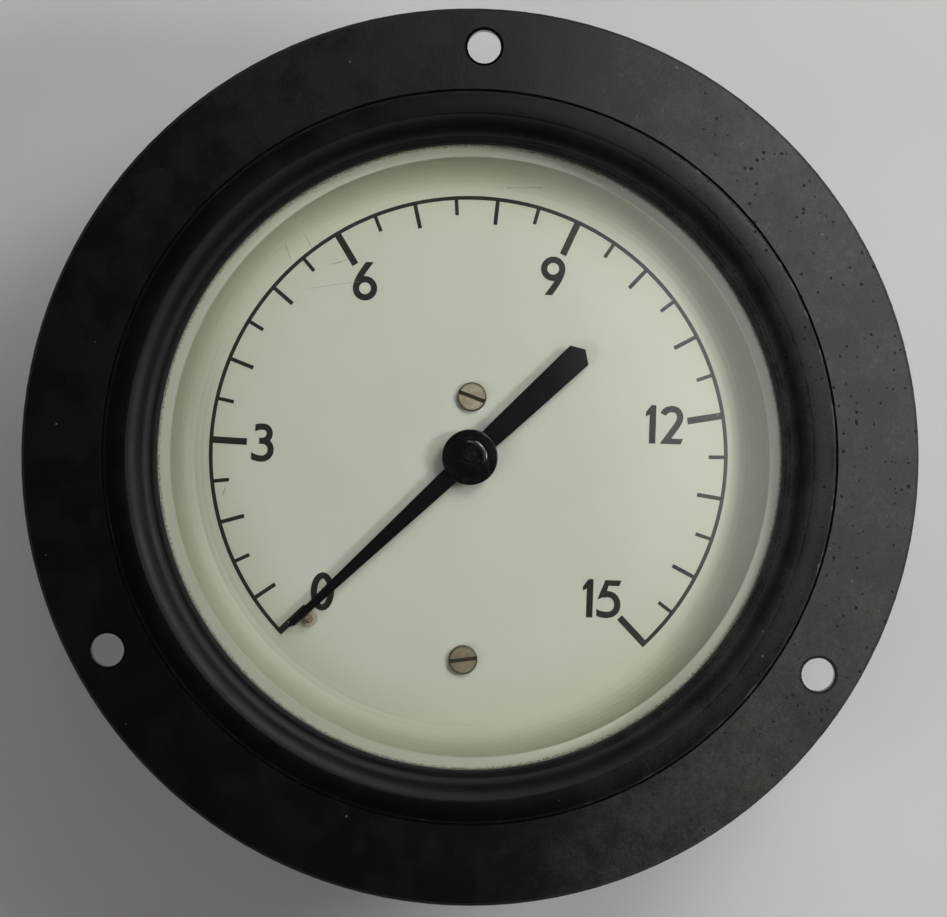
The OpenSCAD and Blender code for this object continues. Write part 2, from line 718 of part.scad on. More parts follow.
// Shaft of the sector gear, with a bearing pivot at each end
module sector_arbor() {
    front = gap_front + side_gap;
    back = rear_plate_y - side_gap;
    shoulder = sector_y + sector_t;
    shoulder_r = 2.4;
    shoulder_back = shoulder + 1.2;
    pivot_front = front_plate_y + pivot_short;
    pivot_back = tongue_y - pivot_short;
    color(steel) turned([[0, pivot_front], [sector_pivot_r, pivot_front], [sector_pivot_r, front],
        [sector_hub_r, front], [sector_hub_r, shoulder], [shoulder_r, shoulder],
        [shoulder_r, shoulder_back], [sector_hub_r, shoulder_back], [sector_hub_r, back],
        [sector_pivot_r, back], [sector_pivot_r, pivot_back], [0, pivot_back]], pivot);
}

// Shoulder screw in the sector's slot, on which the link's lower end turns
module span_screw() {
    head_d = 3;
    head_h = 0.9;
    float = 0.15;
    color(steel) screw(tail_pin, link_y + link_t + float, head_d, head_h, pin_r * 2,
        link_t + float + side_gap + sector_t + span_nut_t + 0.1, 40, -1);
}

// Six-sided nut that clamps the span screw to the sector's tail
module span_nut() {
    across = 3.4;
    color(brass) difference() {
        translate([tail_pin.x, sector_y - span_nut_t, tail_pin.y]) rotate([-90, 0, 0])
            cylinder(d = across, h = span_nut_t, $fn = 6);
        bar(tail_pin, pin_r + seat_fit, sector_y - span_nut_t - 1, span_nut_t + 2);
    }
}

// Flat link from the sector's tail up to the end of the tube
module link() {
    eye_r = 1.9;
    neck = 1.1;
    color(brass) slab(link_y, link_t) translate(tail_pin) rotate(90 - link_tilt) difference() {
        union() {
            circle(r = eye_r);
            translate([link_len, 0]) circle(r = eye_r);
            translate([0, -neck]) square([link_len, neck * 2]);
        }
        circle(r = pin_r + running_fit);
        translate([link_len, 0]) circle(r = pin_r + link_slack);
    }
}

// Closing piece on the free end of the tube, with a lug that reaches in to the link
module tube_end() {
    wall = tube_t * 0.14;
    wide = 1;
    outer = coil_r + tube_t / 2 + wall;
    inner = coil_r - tube_t / 2 - wall;
    len = tube_t * 1.36;
    edge = 1.2;
    cap = [[inner, -side_gap], [inner, -len], [outer, -len], [outer, -side_gap]];
    outward = [cos(tip_angle), sin(tip_angle)];
    along = [-sin(tip_angle), cos(tip_angle)];
    seat = coil_r * outward - len / 2 * along;
    eye_r = 2.4;
    away = unit(seat - top_pin);
    side = 1.9 * [-away.y, away.x];
    color(brass) difference() {
        union() {
            slab(tube_depth - tube_w / 2 - wide / 2, tube_w + wide) rotate(tip_angle)
                polygon(concat([cap[0]], corner(cap[0], cap[1], cap[2], edge),
                    corner(cap[1], cap[2], cap[3], edge), [cap[3]]));
            slab(lug_y, lug_t) {
                translate(top_pin) circle(r = eye_r);
                polygon([top_pin - side, seat - side, seat + side, top_pin + side]);
            }
        }
        bar(top_pin, pin_r + seat_fit, lug_y - 1, lug_t + 2);
    }
}

// Riveted pin through the tube end's lug, with a head in front of the link
module tip_pin() {
    head_back = link_y - 0.2;
    head_front = head_back - 0.6;
    head_r = 1.5;
    rivet = lug_y + lug_t;
    rivet_back = rivet + 0.4;
    rivet_r = 1.2;
    color(steel) turned([[0, head_front], [head_r, head_front], [head_r, head_back], [pin_r, head_back],
        [pin_r, rivet], [rivet_r, rivet], [rivet_r, rivet_back], [0, rivet_back]], top_pin);
}

// Pinion cut in one piece with its shaft, which carries the pointer in front and turns in the rear plate
module pinion_arbor() {
    half = pitch_half(pinion_r, pinion_teeth);
    tip = pinion_r + tooth_module;
    root = pinion_r - 1.05 * tooth_module;
    step = 360 / pinion_teeth;
    neck_r = 1.5;
    neck = pinion_y + 0.5;
    back = pinion_y + pinion_len + 0.6;
    tip_front = hub_front - 0.3;
    bevel = 0.2;
    pivot_back = tongue_y - pivot_short;
    color(steel) {
        slab(pinion_y, pinion_len)
            polygon([for (i = [0:pinion_teeth - 1])
                each tooth(-sector_bearing + (i + 0.5) * step, pinion_r, root, tip, half)]);
        turned([[0, tip_front], [arbor_d / 2 - bevel, tip_front], [arbor_d / 2, tip_front + bevel],
            [arbor_d / 2, neck], [neck_r, neck], [neck_r, back], [pinion_pivot_r, back],
            [pinion_pivot_r, pivot_back], [0, pivot_back]]);
    }
}

// Brass collar on the pinion's shaft that holds the hairspring's inner end
module hairspring_collet() {
    color(brass) difference() {
        bar([0, 0], collet_r, hair_y - 0.2, hair_h + 0.5);
        bar([0, 0], arbor_d / 2 + seat_fit, hair_y - 1, hair_h + 2);
    }
}

// Pointer bushing: a disc with a raised ring in front of the blade, and a sleeve on the shaft
module pointer_hub() {
    rim = 0.25;
    ring_r = 3;
    disc_r = hub_d / 2;
    bore = arbor_d / 2 + seat_fit;
    sleeve = hub_bore_r - seat_fit;
    disc_front = hub_front + 0.3;
    sleeve_back = blade_back + 1.6;
    color(black_paint) turned([[bore, hub_front], [ring_r - 0.5, hub_front], [ring_r, disc_front],
        [disc_r - rim, disc_front], [disc_r, disc_front + rim], [disc_r, blade_front],
        [sleeve, blade_front], [sleeve, sleeve_back], [bore, sleeve_back]]);
}

// Pointer stamped from sheet: a tapered needle, a round centre and a widening tail with an arrow end
module pointer_blade() {
    root = hub_d / 2;
    outline = [[pointer_reach, 0], [point_start, needle_tip_w / 2], [root, needle_w / 2],
        [-root, tail_w / 2], [-tail_reach, tail_end_w / 2], [-tail_reach - tail_point, 0],
        [-tail_reach, -tail_end_w / 2], [-root, -tail_w / 2], [root, -needle_w / 2],
        [point_start, -needle_tip_w / 2]];
    color(black_paint) slab(blade_front, pointer_t) rotate(90 - zero_clock) difference() {
        union() {
            polygon(outline);
            circle(r = root - 0.4);
        }
        circle(r = hub_bore_r);
    }
}

case_shell();
bezel_ring();
window_glass();
glass_gasket();
dial();
dial_screws();
dial_post();
stop_pin();
socket();
socket_gasket();
case_screws();
restrictor();
pressure_tube();
rear_plate();
front_plate();
pillars();
pillar_screws();
movement_screws();
hairspring();
hairspring_stud();
sector_gear();
sector_arbor();
span_screw();
span_nut();
link();
tube_end();
tip_pin();
pinion_arbor();
hairspring_collet();
pointer_hub();
pointer_blade();
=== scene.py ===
from math import cos, hypot, pi, radians, sin, tau

import bmesh
import bpy
from mathutils import Matrix, Vector
from mathutils.geometry import delaunay_2d_cdt


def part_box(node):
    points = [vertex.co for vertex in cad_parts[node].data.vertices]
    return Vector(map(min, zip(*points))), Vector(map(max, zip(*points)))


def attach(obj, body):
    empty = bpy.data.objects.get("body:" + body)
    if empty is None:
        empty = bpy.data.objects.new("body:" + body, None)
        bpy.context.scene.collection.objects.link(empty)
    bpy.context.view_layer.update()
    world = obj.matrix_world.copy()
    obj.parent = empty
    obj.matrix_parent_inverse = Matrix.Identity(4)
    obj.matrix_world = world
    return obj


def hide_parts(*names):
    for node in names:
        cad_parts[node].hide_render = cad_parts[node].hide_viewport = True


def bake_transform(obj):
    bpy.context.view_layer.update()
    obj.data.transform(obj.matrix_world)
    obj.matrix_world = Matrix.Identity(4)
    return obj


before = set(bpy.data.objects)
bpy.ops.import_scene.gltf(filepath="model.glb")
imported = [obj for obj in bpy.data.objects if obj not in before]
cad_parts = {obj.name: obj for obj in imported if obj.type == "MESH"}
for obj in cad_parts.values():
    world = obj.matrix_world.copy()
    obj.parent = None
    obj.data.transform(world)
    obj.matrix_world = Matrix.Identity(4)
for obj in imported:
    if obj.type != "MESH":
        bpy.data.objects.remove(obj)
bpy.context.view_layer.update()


# Case: one aluminium casting with its mounting flange, sprayed satin black and baked.
# Handling has polished the film, darkened it in spots and rubbed it thin along the outer edge. At the right
# of the front it carries a lighter grey, partly dust and partly painted sheen of the light that falls there.
def add(tree, kind, sockets=(), **settings):
    """A shader node whose sockets take a value or another node's output."""
    made = tree.nodes.new("ShaderNode" + kind)
    for name, value in settings.items():
        setattr(made, name, value)
    for name, value in dict(sockets).items():
        if isinstance(value, bpy.types.NodeSocket):
            tree.links.new(value, made.inputs[name])
        else:
            made.inputs[name].default_value = value
    return made


def calculate(tree, kind, a, b=0.0):
    return add(tree, "Math", {0: a, 1: b}, operation=kind).outputs[0]


def mixed(tree, share, a, b):
    """Colour a, turning into colour b by share."""
    return add(tree, "Mix", {0: share, 6: a, 7: b}, data_type="RGBA").outputs[2]


def graded(tree, value, low, high, start=0.0, end=1.0):
    """The value carried from low..high to start..end, with soft ends."""
    sockets = {"Value": value, "From Min": low, "From Max": high, "To Min": start, "To Max": end}
    return add(tree, "MapRange", sockets, interpolation_type="SMOOTHSTEP").outputs["Result"]


def effect(name, inputs, outputs):
    """An empty node group with named sockets, and its tree, inputs and output node."""
    tree = bpy.data.node_groups.new(name, "ShaderNodeTree")
    for label, value in inputs.items():
        kind = "NodeSocketVector" if value is None else "NodeSocketFloat"
        socket = tree.interface.new_socket(label, in_out="INPUT", socket_type=kind)
        if value is not None:
            socket.default_value = value
    for label in outputs:
        tree.interface.new_socket(label, in_out="OUTPUT", socket_type="NodeSocketFloat")
    return tree, tree.nodes.new("NodeGroupInput").outputs, tree.nodes.new("NodeGroupOutput").inputs


def placed(tree, name, place, values, output="Mask"):
    """One use of an effect in a material, with its own values."""
    use = tree.nodes.new("ShaderNodeGroup")
    use.node_tree = bpy.data.node_groups[name]
    tree.links.new(place, use.inputs["Place"])
    for label, value in values.items():
        use.inputs[label].default_value = value
    return use.outputs[output]


def material(name, **values):
    """A new material, its tree, its shader and the place on the part that is being shaded."""
    made = bpy.data.materials.new(name)
    made.use_nodes = True
    tree = made.node_tree
    shader = tree.nodes["Principled BSDF"]
    for label, value in values.items():
        shader.inputs[label.replace("_", " ")].default_value = value
    return made, tree, shader, add(tree, "TexCoord").outputs["Object"]


def surface(tree, shader, colour=None, roughness=None, height=None, depth=0.00001):
    """Joins the patterns of a finish to its shader."""
    for label, value in (("Base Color", colour), ("Roughness", roughness)):
        if value is not None:
            tree.links.new(value, shader.inputs[label])
    if height is not None:
        bump = add(tree, "Bump", {"Height": height, "Strength": 1.0, "Distance": depth})
        tree.links.new(bump.outputs["Normal"], shader.inputs["Normal"])


def dress(finish, *names):
    for name in names:
        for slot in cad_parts[name].material_slots:
            slot.material = finish


def grain_effect():
    """Cloudy grain of a given size: 0 to 1 over the surface."""
    tree, given, out = effect("grain", {"Place": None, "Size": 0.001, "Detail": 3.0}, ["Mask"])
    scale = calculate(tree, "DIVIDE", 1.0, given["Size"])
    noise = add(tree, "TexNoise", {"Vector": given["Place"], "Scale": scale, "Detail": given["Detail"]})
    tree.links.new(graded(tree, noise.outputs["Fac"], 0.3, 0.7), out["Mask"])


def spot_effect():
    """Ragged spots: a share of the cells of a given size holds one, up to a part of the cell across."""
    tree, given, out = effect("spots", {"Place": None, "Cell": 0.002, "Part": 0.3, "Share": 0.3}, ["Mask"])
    scale = calculate(tree, "DIVIDE", 1.0, given["Cell"])
    ragged = add(tree, "TexNoise", {"Vector": given["Place"], "Detail": 4.0})
    tree.links.new(calculate(tree, "MULTIPLY", scale, 4.0), ragged.inputs["Scale"])
    cells = add(tree, "TexVoronoi", {"Vector": given["Place"], "Scale": scale})
    chance = add(tree, "SeparateColor", {"Color": cells.outputs["Color"]}).outputs
    size = calculate(tree, "MULTIPLY", given["Part"], calculate(tree, "POWER", chance["Red"], 2.0))
    wobble = calculate(tree, "ADD", ragged.outputs["Fac"], 0.5)
    distance = calculate(tree, "DIVIDE", calculate(tree, "MULTIPLY", cells.outputs["Distance"], wobble),
                         calculate(tree, "ADD", size, 0.001))
    held = calculate(tree, "LESS_THAN", chance["Green"], given["Share"])
    tree.links.new(calculate(tree, "MULTIPLY", held, graded(tree, distance, 1.1, 0.7)), out["Mask"])


def rub_effect():
    """Broken ring of wear about the gauge's axis, at a given radius and up to a given depth."""
    inputs = {"Place": None, "Radius": 0.05, "Width": 0.0005, "Back": 1.0, "Broken": 0.5}
    tree, given, out = effect("rub", inputs, ["Mask"])
    part = add(tree, "SeparateXYZ", {"Vector": given["Place"]}).outputs
    flat = add(tree, "CombineXYZ", {"X": part["X"], "Y": part["Z"]}).outputs[0]
    radius = add(tree, "VectorMath", {0: flat}, operation="LENGTH").outputs["Value"]
    off = calculate(tree, "ABSOLUTE", calculate(tree, "SUBTRACT", radius, given["Radius"]))
    noise = add(tree, "TexNoise", {"Vector": given["Place"], "Scale": 420.0, "Detail": 5.0})
    reach = calculate(tree, "MULTIPLY", given["Width"],
                      graded(tree, noise.outputs["Fac"], given["Broken"], 0.85, 0.05, 1.0))
    ring = graded(tree, calculate(tree, "DIVIDE", off, reach), 1.2, 0.4)
    front = calculate(tree, "LESS_THAN", part["Y"], given["Back"])
    tree.links.new(calculate(tree, "MULTIPLY", ring, front), out["Mask"])


def black_enamel(name, rubbed, dust_and_sheen_amount, matt=0.65, steepest=-0.87, shine=0.5):
    """Satin black baked enamel, polished where it is flat and in front.

    rubbed lists (radius, width, deepest place, how broken) of its worn edges. The third value is how much
    lighter grey it holds at the right of the front, partly dust and partly painted sheen of the light there.
    matt is how much rougher it is where the surface turns away from the front, as far as steepest, and shine
    is the strength of its reflections.
    """
    black, brown, bare = (0.0016, 0.0019, 0.0018, 1), (0.012, 0.0075, 0.0060, 1), (0.11, 0.105, 0.095, 1)
    finish, tree, shader, place = material(name, Specular_IOR_Level=shine)
    cloud = placed(tree, "grain", place, {"Size": 0.006, "Detail": 5.0})
    mottle = placed(tree, "grain", place, {"Size": 0.0017, "Detail": 6.0})
    fine = placed(tree, "grain", place, {"Size": 0.0003, "Detail": 4.0})
    patch = placed(tree, "grain", place, {"Size": 0.013, "Detail": 4.0})
    pits = placed(tree, "spots", place, {"Cell": 0.0010, "Part": 0.38, "Share": 0.85})
    blots = placed(tree, "spots", place, {"Cell": 0.009, "Part": 0.2, "Share": 0.5})
    dust = placed(tree, "spots", place, {"Cell": 0.0036, "Part": 0.09, "Share": 0.3})
    part = add(tree, "SeparateXYZ", {"Vector": place}).outputs
    front = graded(tree, part["Y"], 0.004, 0.002)
    # The right of the front carries more wear, dust and painted sheen; the back and sides get a little of
    # them.
    wear_and_sheen_side = calculate(tree, "MULTIPLY", front, graded(tree, part["X"], 0.0, 0.05))
    wear_and_sheen_side = calculate(tree, "ADD", wear_and_sheen_side, graded(tree, front, 0.0, 1.0, 0.35, 0.0))
    turn = add(tree, "SeparateXYZ", {"Vector": add(tree, "NewGeometry").outputs["Normal"]}).outputs["Y"]
    edge = calculate(tree, "MULTIPLY", graded(tree, turn, -0.998, -0.985),
                     graded(tree, turn, steepest, steepest - 0.02))
    dull = calculate(tree, "MULTIPLY", calculate(tree, "MAXIMUM", pits, blots),
                     graded(tree, wear_and_sheen_side, 0.35, 1.0, 0.04, 1.0))
    warm = calculate(tree, "MULTIPLY", calculate(tree, "MULTIPLY", cloud, fine), wear_and_sheen_side)
    colour = mixed(tree, warm, black, brown)
    clouded = calculate(tree, "MULTIPLY", graded(tree, mottle, 0.0, 1.0, 0.75, 1.0),
                        graded(tree, fine, 0.0, 1.0, 0.6, 1.0))
    clouded = calculate(tree, "MULTIPLY", clouded, graded(tree, cloud, 0.0, 1.0, 0.7, 1.1))
    # Lighter grey film at the right of the front: partly dust, partly painted sheen of the light that falls
    # there.
    dust_and_sheen_film = calculate(tree, "MULTIPLY", calculate(tree, "MULTIPLY", wear_and_sheen_side, dust_and_sheen_amount), clouded)
    dust_and_sheen_film = calculate(tree, "MULTIPLY", dust_and_sheen_film, graded(tree, dull, 0.0, 1.0, 1.0, 0.0))
    # The film's grey, partly dust and partly painted sheen.
    worn = mixed(tree, patch, (0.044, 0.042, 0.037, 1), (0.050, 0.043, 0.035, 1))
    colour = mixed(tree, dust_and_sheen_film, colour, worn)
    colour = mixed(tree, calculate(tree, "MULTIPLY", dust, 0.25), colour, (0.22, 0.21, 0.19, 1))
    rough = calculate(tree, "ADD", graded(tree, cloud, 0.0, 1.0, 0.15, 0.20),
                      graded(tree, fine, 0.0, 1.0, 0.0, 0.03))
    rough = calculate(tree, "ADD", rough, calculate(tree, "MULTIPLY", dull, 0.65))
    rough = calculate(tree, "ADD", rough, calculate(tree, "MULTIPLY", edge, matt))
    uneven = calculate(tree, "MULTIPLY", calculate(tree, "MULTIPLY", mottle, wear_and_sheen_side), 0.05)
    rough = calculate(tree, "ADD", rough, uneven)
    for radius, width, back, broken in rubbed:
        ring = {"Radius": radius, "Width": width, "Back": back, "Broken": broken}
        wear = placed(tree, "rub", place, ring)
        wear = calculate(tree, "MULTIPLY", wear, graded(tree, wear_and_sheen_side, 0.0, 1.0, 0.2, 0.8))
        colour = mixed(tree, wear, colour, bare)
    height = calculate(tree, "SUBTRACT", calculate(tree, "MULTIPLY", fine, 0.4), dull)
    surface(tree, shader, colour, rough, height, 0.000004)
    return finish


grain_effect()
spot_effect()
rub_effect()
flange_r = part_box("case_shell")[1].x
# 0.8 is the lighter grey at the right of the front, partly dust and partly painted sheen.
dress(black_enamel("case_enamel", [(flange_r - 0.0001, 0.0004, 0.0, 0.62)], 0.8), "case_shell")


# Bezel ring: turned aluminium with the same enamel, screwed into the mouth of the case.
# It holds the window down, and a form tool gave it a soft shoulder and a low rolled lip.
def piece(name, points, faces, finish, smooth=False):
    """A mesh from points in metres, drawn in place."""
    mesh = bpy.data.meshes.new(name)
    mesh.from_pydata(points, [], faces)
    mesh.polygons.foreach_set("use_smooth", [smooth] * len(faces))
    mesh.materials.append(finish)
    made = bpy.data.objects.new(name, mesh)
    bpy.context.scene.collection.objects.link(made)
    return made


def turned(name, profile, finish, around):
    """A solid turned about the gauge's axis from a closed profile of (radius, depth) in millimetres."""
    n = len(profile)
    turns = [tau * i / around for i in range(around)]
    points = [(r * cos(a) / 1000, y / 1000, r * sin(a) / 1000) for a in turns for r, y in profile]
    faces = [(i * n + j, i * n + (j + 1) % n, (i + 1) % around * n + (j + 1) % n, (i + 1) % around * n + j)
             for i in range(around) for j in range(n)]
    made = piece(name, points, faces, finish, smooth=True)
    made.data.set_sharp_from_angle(angle=radians(40))
    return made


def rolled(profile, radius, low, high, steps):
    """Carries a profile inwards and back along an arc, from one tilt to another in degrees."""
    r, y = profile[-1]
    for i in range(1, steps + 1):
        a = radians(low + (high - low) * i / steps)
        side, back = abs(sin(a) - sin(radians(low))), abs(cos(a) - cos(radians(low)))
        profile.append((r - radius * side, y + radius * back))


def rolled_bezel():
    """The ring's flat band, the slope that rolls down from it, and the lip round the opening."""
    low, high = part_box("bezel_ring")
    outer_r, front, back = high.x * 1000, low.y * 1000, high.y * 1000
    edge, band_in_r, opening_r = 0.35, 57.4, 52.1
    slope, lip_tilt = 56, 7
    shoulder_bend, foot_bend, lip_bend, rim_bend = 2.9, 2.04, 8.6, 0.15
    profile = [(outer_r, back)]
    profile += [(outer_r - edge + edge * cos(a), front + edge - edge * sin(a))
                for a in (radians(step) for step in range(0, 91, 18))]
    profile.append((band_in_r, front))
    rolled(profile, shoulder_bend, 0, slope, 10)
    rolled(profile, foot_bend, slope, 0, 8)
    rolled(profile, lip_bend, 0, lip_tilt, 3)
    rolled(profile, rim_bend, lip_tilt, 90, 4)
    profile += [(opening_r, profile[-1][1] + 0.1), (opening_r, back)]
    wear = [(outer_r / 1000 - 0.0001, 0.0005, 0.0, 0.55)]
    # 0.22 is the lighter grey at the right of the front, partly dust and partly painted sheen.
    finish = black_enamel("bezel_enamel", wear, 0.22, matt=0.36, steepest=-0.2, shine=0.26)
    made = turned("rolled_bezel", profile[::-1], finish, 180)
    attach(made, "case")
    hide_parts("bezel_ring")


rolled_bezel()


# Gaskets: rubber rings cut from sheet, one behind the window and one under the socket.
# They are matt, with the fine grain of moulded sheet.
def rubber():
    finish, tree, shader, place = material("gasket_rubber", Roughness=0.8)
    skin = placed(tree, "grain", place, {"Size": 0.0003, "Detail": 4.0})
    colour = mixed(tree, skin, (0.018, 0.018, 0.018, 1), (0.035, 0.034, 0.032, 1))
    surface(tree, shader, colour, graded(tree, skin, 0.0, 1.0, 0.7, 0.88), skin, 0.00003)
    return finish


dress(rubber(), "glass_gasket", "socket_gasket")


# Window: a round pane of clear float glass with ground edges.
# Lamps reach the dial through it, and years of wiping have left hairlines that show in its reflections.
def clear_glass():
    finish, tree, shader, place = material("window", Base_Color=(0.97, 0.98, 0.97, 1), IOR=1.5,
                                           Transmission_Weight=1.0)
    wiped = add(tree, "Mapping", {"Vector": place, "Rotation": (0, 0.6, 0), "Scale": (1, 1, 0.04)})
    hair = placed(tree, "grain", wiped.outputs["Vector"], {"Size": 0.00025, "Detail": 2.0})
    surface(tree, shader, roughness=graded(tree, hair, 0.75, 1.0, 0.015, 0.05))
    light = add(tree, "LightPath").outputs
    open_to = calculate(tree, "MAXIMUM", light["Is Shadow Ray"], light["Is Diffuse Ray"])
    clear = add(tree, "BsdfTransparent", {"Color": (0.97, 0.98, 0.97, 1)}).outputs[0]
    both = add(tree, "MixShader", {0: open_to, 1: shader.outputs[0], 2: clear})
    tree.links.new(both.outputs[0], tree.nodes["Material Output"].inputs["Surface"])
    return finish


dress(clear_glass(), "window_glass")


# Dial: pressed from aluminium sheet, with a cove that rises to a lip, sprayed satin cream.
# It is yellower and darker towards the rim and up the cove, partly yellowing and dirt and partly painted
# shade, most at the left and right of the cove, and it has specks and a few fine scratches.
def scratch_effect():
    """A fine broken scratch between two points (x, z) of the dial's face."""
    inputs = {"Place": None, "From X": 0.0, "From Z": 0.0, "To X": 0.0, "To Z": 0.0, "Width": 0.0001}
    tree, given, out = effect("scratch", inputs, ["Mask"])
    start = add(tree, "CombineXYZ", {"X": given["From X"], "Z": given["From Z"]}).outputs[0]
    end = add(tree, "CombineXYZ", {"X": given["To X"], "Z": given["To Z"]}).outputs[0]
    flat = add(tree, "VectorMath", {0: given["Place"], 1: (1, 0, 1)}, operation="MULTIPLY").outputs[0]

    def vector(kind, a, b, output="Vector"):
        return add(tree, "VectorMath", {0: a, 1: b}, operation=kind).outputs[output]

    along, reach = vector("SUBTRACT", end, start), vector("SUBTRACT", flat, start)
    share = calculate(tree, "DIVIDE", vector("DOT_PRODUCT", reach, along, "Value"),
                      vector("DOT_PRODUCT", along, along, "Value"))
    share = add(tree, "Clamp", {"Value": share}).outputs[0]
    near = add(tree, "VectorMath", {0: along, "Scale": share}, operation="SCALE").outputs[0]
    off = vector("DISTANCE", reach, near, "Value")
    noise = add(tree, "TexNoise", {"Vector": flat, "Scale": 900.0, "Detail": 3.0}).outputs["Fac"]
    width = calculate(tree, "MULTIPLY", given["Width"], graded(tree, noise, 0.35, 0.65, 0.2, 1.3))
    tree.links.new(graded(tree, calculate(tree, "DIVIDE", off, width), 1.3, 0.3), out["Mask"])


# Ends of the scratches as (x, z) to (x, z), and their widths
scratches = [((-0.0324, 0.0348), (-0.0314, 0.0323), 0.00018),
             ((-0.0294, 0.0370), (-0.0279, 0.0343), 0.0001),
             ((-0.0247, 0.0317), (-0.0219, 0.0326), 0.00018),
             ((-0.0300, 0.0272), (-0.0195, 0.0291), 0.00007),
             ((0.0048, 0.0457), (0.0107, 0.0459), 0.00014),
             ((-0.0411, -0.0065), (-0.0416, -0.0080), 0.00014)]


def scratched(tree, place, colour):
    """The colour with the dial's scratches, which are grey on the enamel and pale on the ink."""
    grey = (0.22, 0.22, 0.17, 1)
    for (x0, z0), (x1, z1), width in scratches:
        ends = {"From X": x0, "From Z": z0, "To X": x1, "To Z": z1, "Width": width}
        mark = placed(tree, "scratch", place, ends)
        colour = mixed(tree, calculate(tree, "MULTIPLY", mark, 0.6), colour, grey)
    return colour


dial_sheet = 0.0008
face_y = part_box("dial")[1].y - dial_sheet
cove_r, lip_r, seam_r = 0.0445, 0.0505, 0.0521


def cream_enamel():
    """Cream on the flat, darker and yellower up the cove, partly dirt and partly painted shade, most at the
    left and right, then the clean lip, and a brown line in the seam to the bezel.
    """
    finish, tree, shader, place = material("dial_enamel")
    cloud = placed(tree, "grain", place, {"Size": 0.012, "Detail": 3.0})
    fine = placed(tree, "grain", place, {"Size": 0.0004, "Detail": 3.0})
    specks = placed(tree, "spots", place, {"Cell": 0.0065, "Part": 0.05, "Share": 0.35})
    colour = mixed(tree, cloud, (0.530, 0.542, 0.455, 1), (0.550, 0.560, 0.480, 1))
    colour = mixed(tree, calculate(tree, "MULTIPLY", fine, 0.10), colour, (0.47, 0.48, 0.39, 1))
    colour = mixed(tree, calculate(tree, "MULTIPLY", specks, 0.55), colour, (0.10, 0.095, 0.06, 1))
    flat = add(tree, "VectorMath", {0: place, 1: (1, 0, 1)}, operation="MULTIPLY").outputs[0]
    radius = add(tree, "VectorMath", {0: flat}, operation="LENGTH").outputs["Value"]
    # Yellower and a little darker towards the rim: partly yellowing, partly painted shade of the bezel's rim.
    yellowed_and_shaded = graded(tree, radius, cove_r - 0.0105, cove_r + 0.0015)
    colour = mixed(tree, yellowed_and_shaded, colour, (0.495, 0.500, 0.395, 1))
    below_lip = graded(tree, radius, lip_r, lip_r - 0.0003)
    # Darker up the cove: partly dirt, partly painted shade of the cove turning away from the light.
    cove_dirt_and_shade = calculate(tree, "MULTIPLY", graded(tree, radius, cove_r - 0.0005, lip_r - 0.0010), below_lip)
    colour = mixed(tree, cove_dirt_and_shade, colour, (0.335, 0.335, 0.243, 1))
    across = add(tree, "SeparateXYZ", {"Vector": place}).outputs["X"]
    across = calculate(tree, "ABSOLUTE", calculate(tree, "ADD", across, 0.004))
    # Painted shade at the left and right of the cove, where the light reaches it less.
    side_cove_shade = calculate(tree, "MULTIPLY", graded(tree, radius, cove_r - 0.0020, cove_r + 0.0020), below_lip)
    side_cove_shade = calculate(tree, "MULTIPLY", side_cove_shade, graded(tree, across, 0.032, 0.054))
    colour = mixed(tree, side_cove_shade, colour, (0.225, 0.225, 0.165, 1))
    lip = graded(tree, radius, lip_r - 0.0002, lip_r + 0.0001)
    colour = mixed(tree, lip, colour, (0.52, 0.525, 0.415, 1))
    ragged = calculate(tree, "ADD", radius, graded(tree, fine, 0.0, 1.0, -0.0002, 0.0002))
    seam = graded(tree, ragged, seam_r - 0.0002, seam_r + 0.0003)
    colour = mixed(tree, seam, colour, (0.17, 0.135, 0.085, 1))
    colour = scratched(tree, place, colour)
    rough = graded(tree, fine, 0.0, 1.0, 0.46, 0.54)
    surface(tree, shader, colour, rough, fine, 0.000002)
    return finish


scratch_effect()
dress(cream_enamel(), "dial")


# Scale: one printed line round the dial with a mark for every half unit, longer at whole units.
# The ink is olive black and a little chipped, and the first mark, at zero, stands in the place of one half.
# The print lies a hair to the left of the dial's centre and above it.
scale_r, line_w = 43.5, 0.65
sweep, top_value, first_value = 270, 15, 0.5
mark_in_r = {"numbered": 37.45, "whole": 39.2, "half": 40.6}
mark_w = {"numbered": 1.15, "whole": 0.68, "half": 0.62}
film_up, film_down = 0.03, 0.02
print_shift = Vector((-0.3, 0.3))


def clock(value):
    """Angle of a value's mark, clockwise from the top, in degrees."""
    return -sweep / 2 + (value - first_value) * sweep / (top_value - first_value)


def at(radius, degrees):
    return Vector((radius * sin(radians(degrees)), radius * cos(radians(degrees))))


def mark(value):
    kind = "half"
    if value == int(value):
        kind = "whole"
    if value in (first_value, *range(3, top_value + 1, 3)):
        kind = "numbered"
    side = at(mark_w[kind] / 2, clock(value) + 90)
    inner, outer = at(mark_in_r[kind], clock(value)), at(scale_r + line_w / 2, clock(value))
    return [inner - side, inner + side, outer + side, outer - side]


def scale_line(step=1.5):
    low, high = scale_r - line_w / 2, scale_r + line_w / 2
    turns = [-sweep / 2 + step * i for i in range(int(sweep / step) + 1)]
    return [[at(low, a), at(low, b), at(high, b), at(high, a)] for a, b in zip(turns, turns[1:])]


def area(ring):
    return sum(a.x * b.y - b.x * a.y for a, b in zip(ring, ring[1:] + ring[:1])) / 2


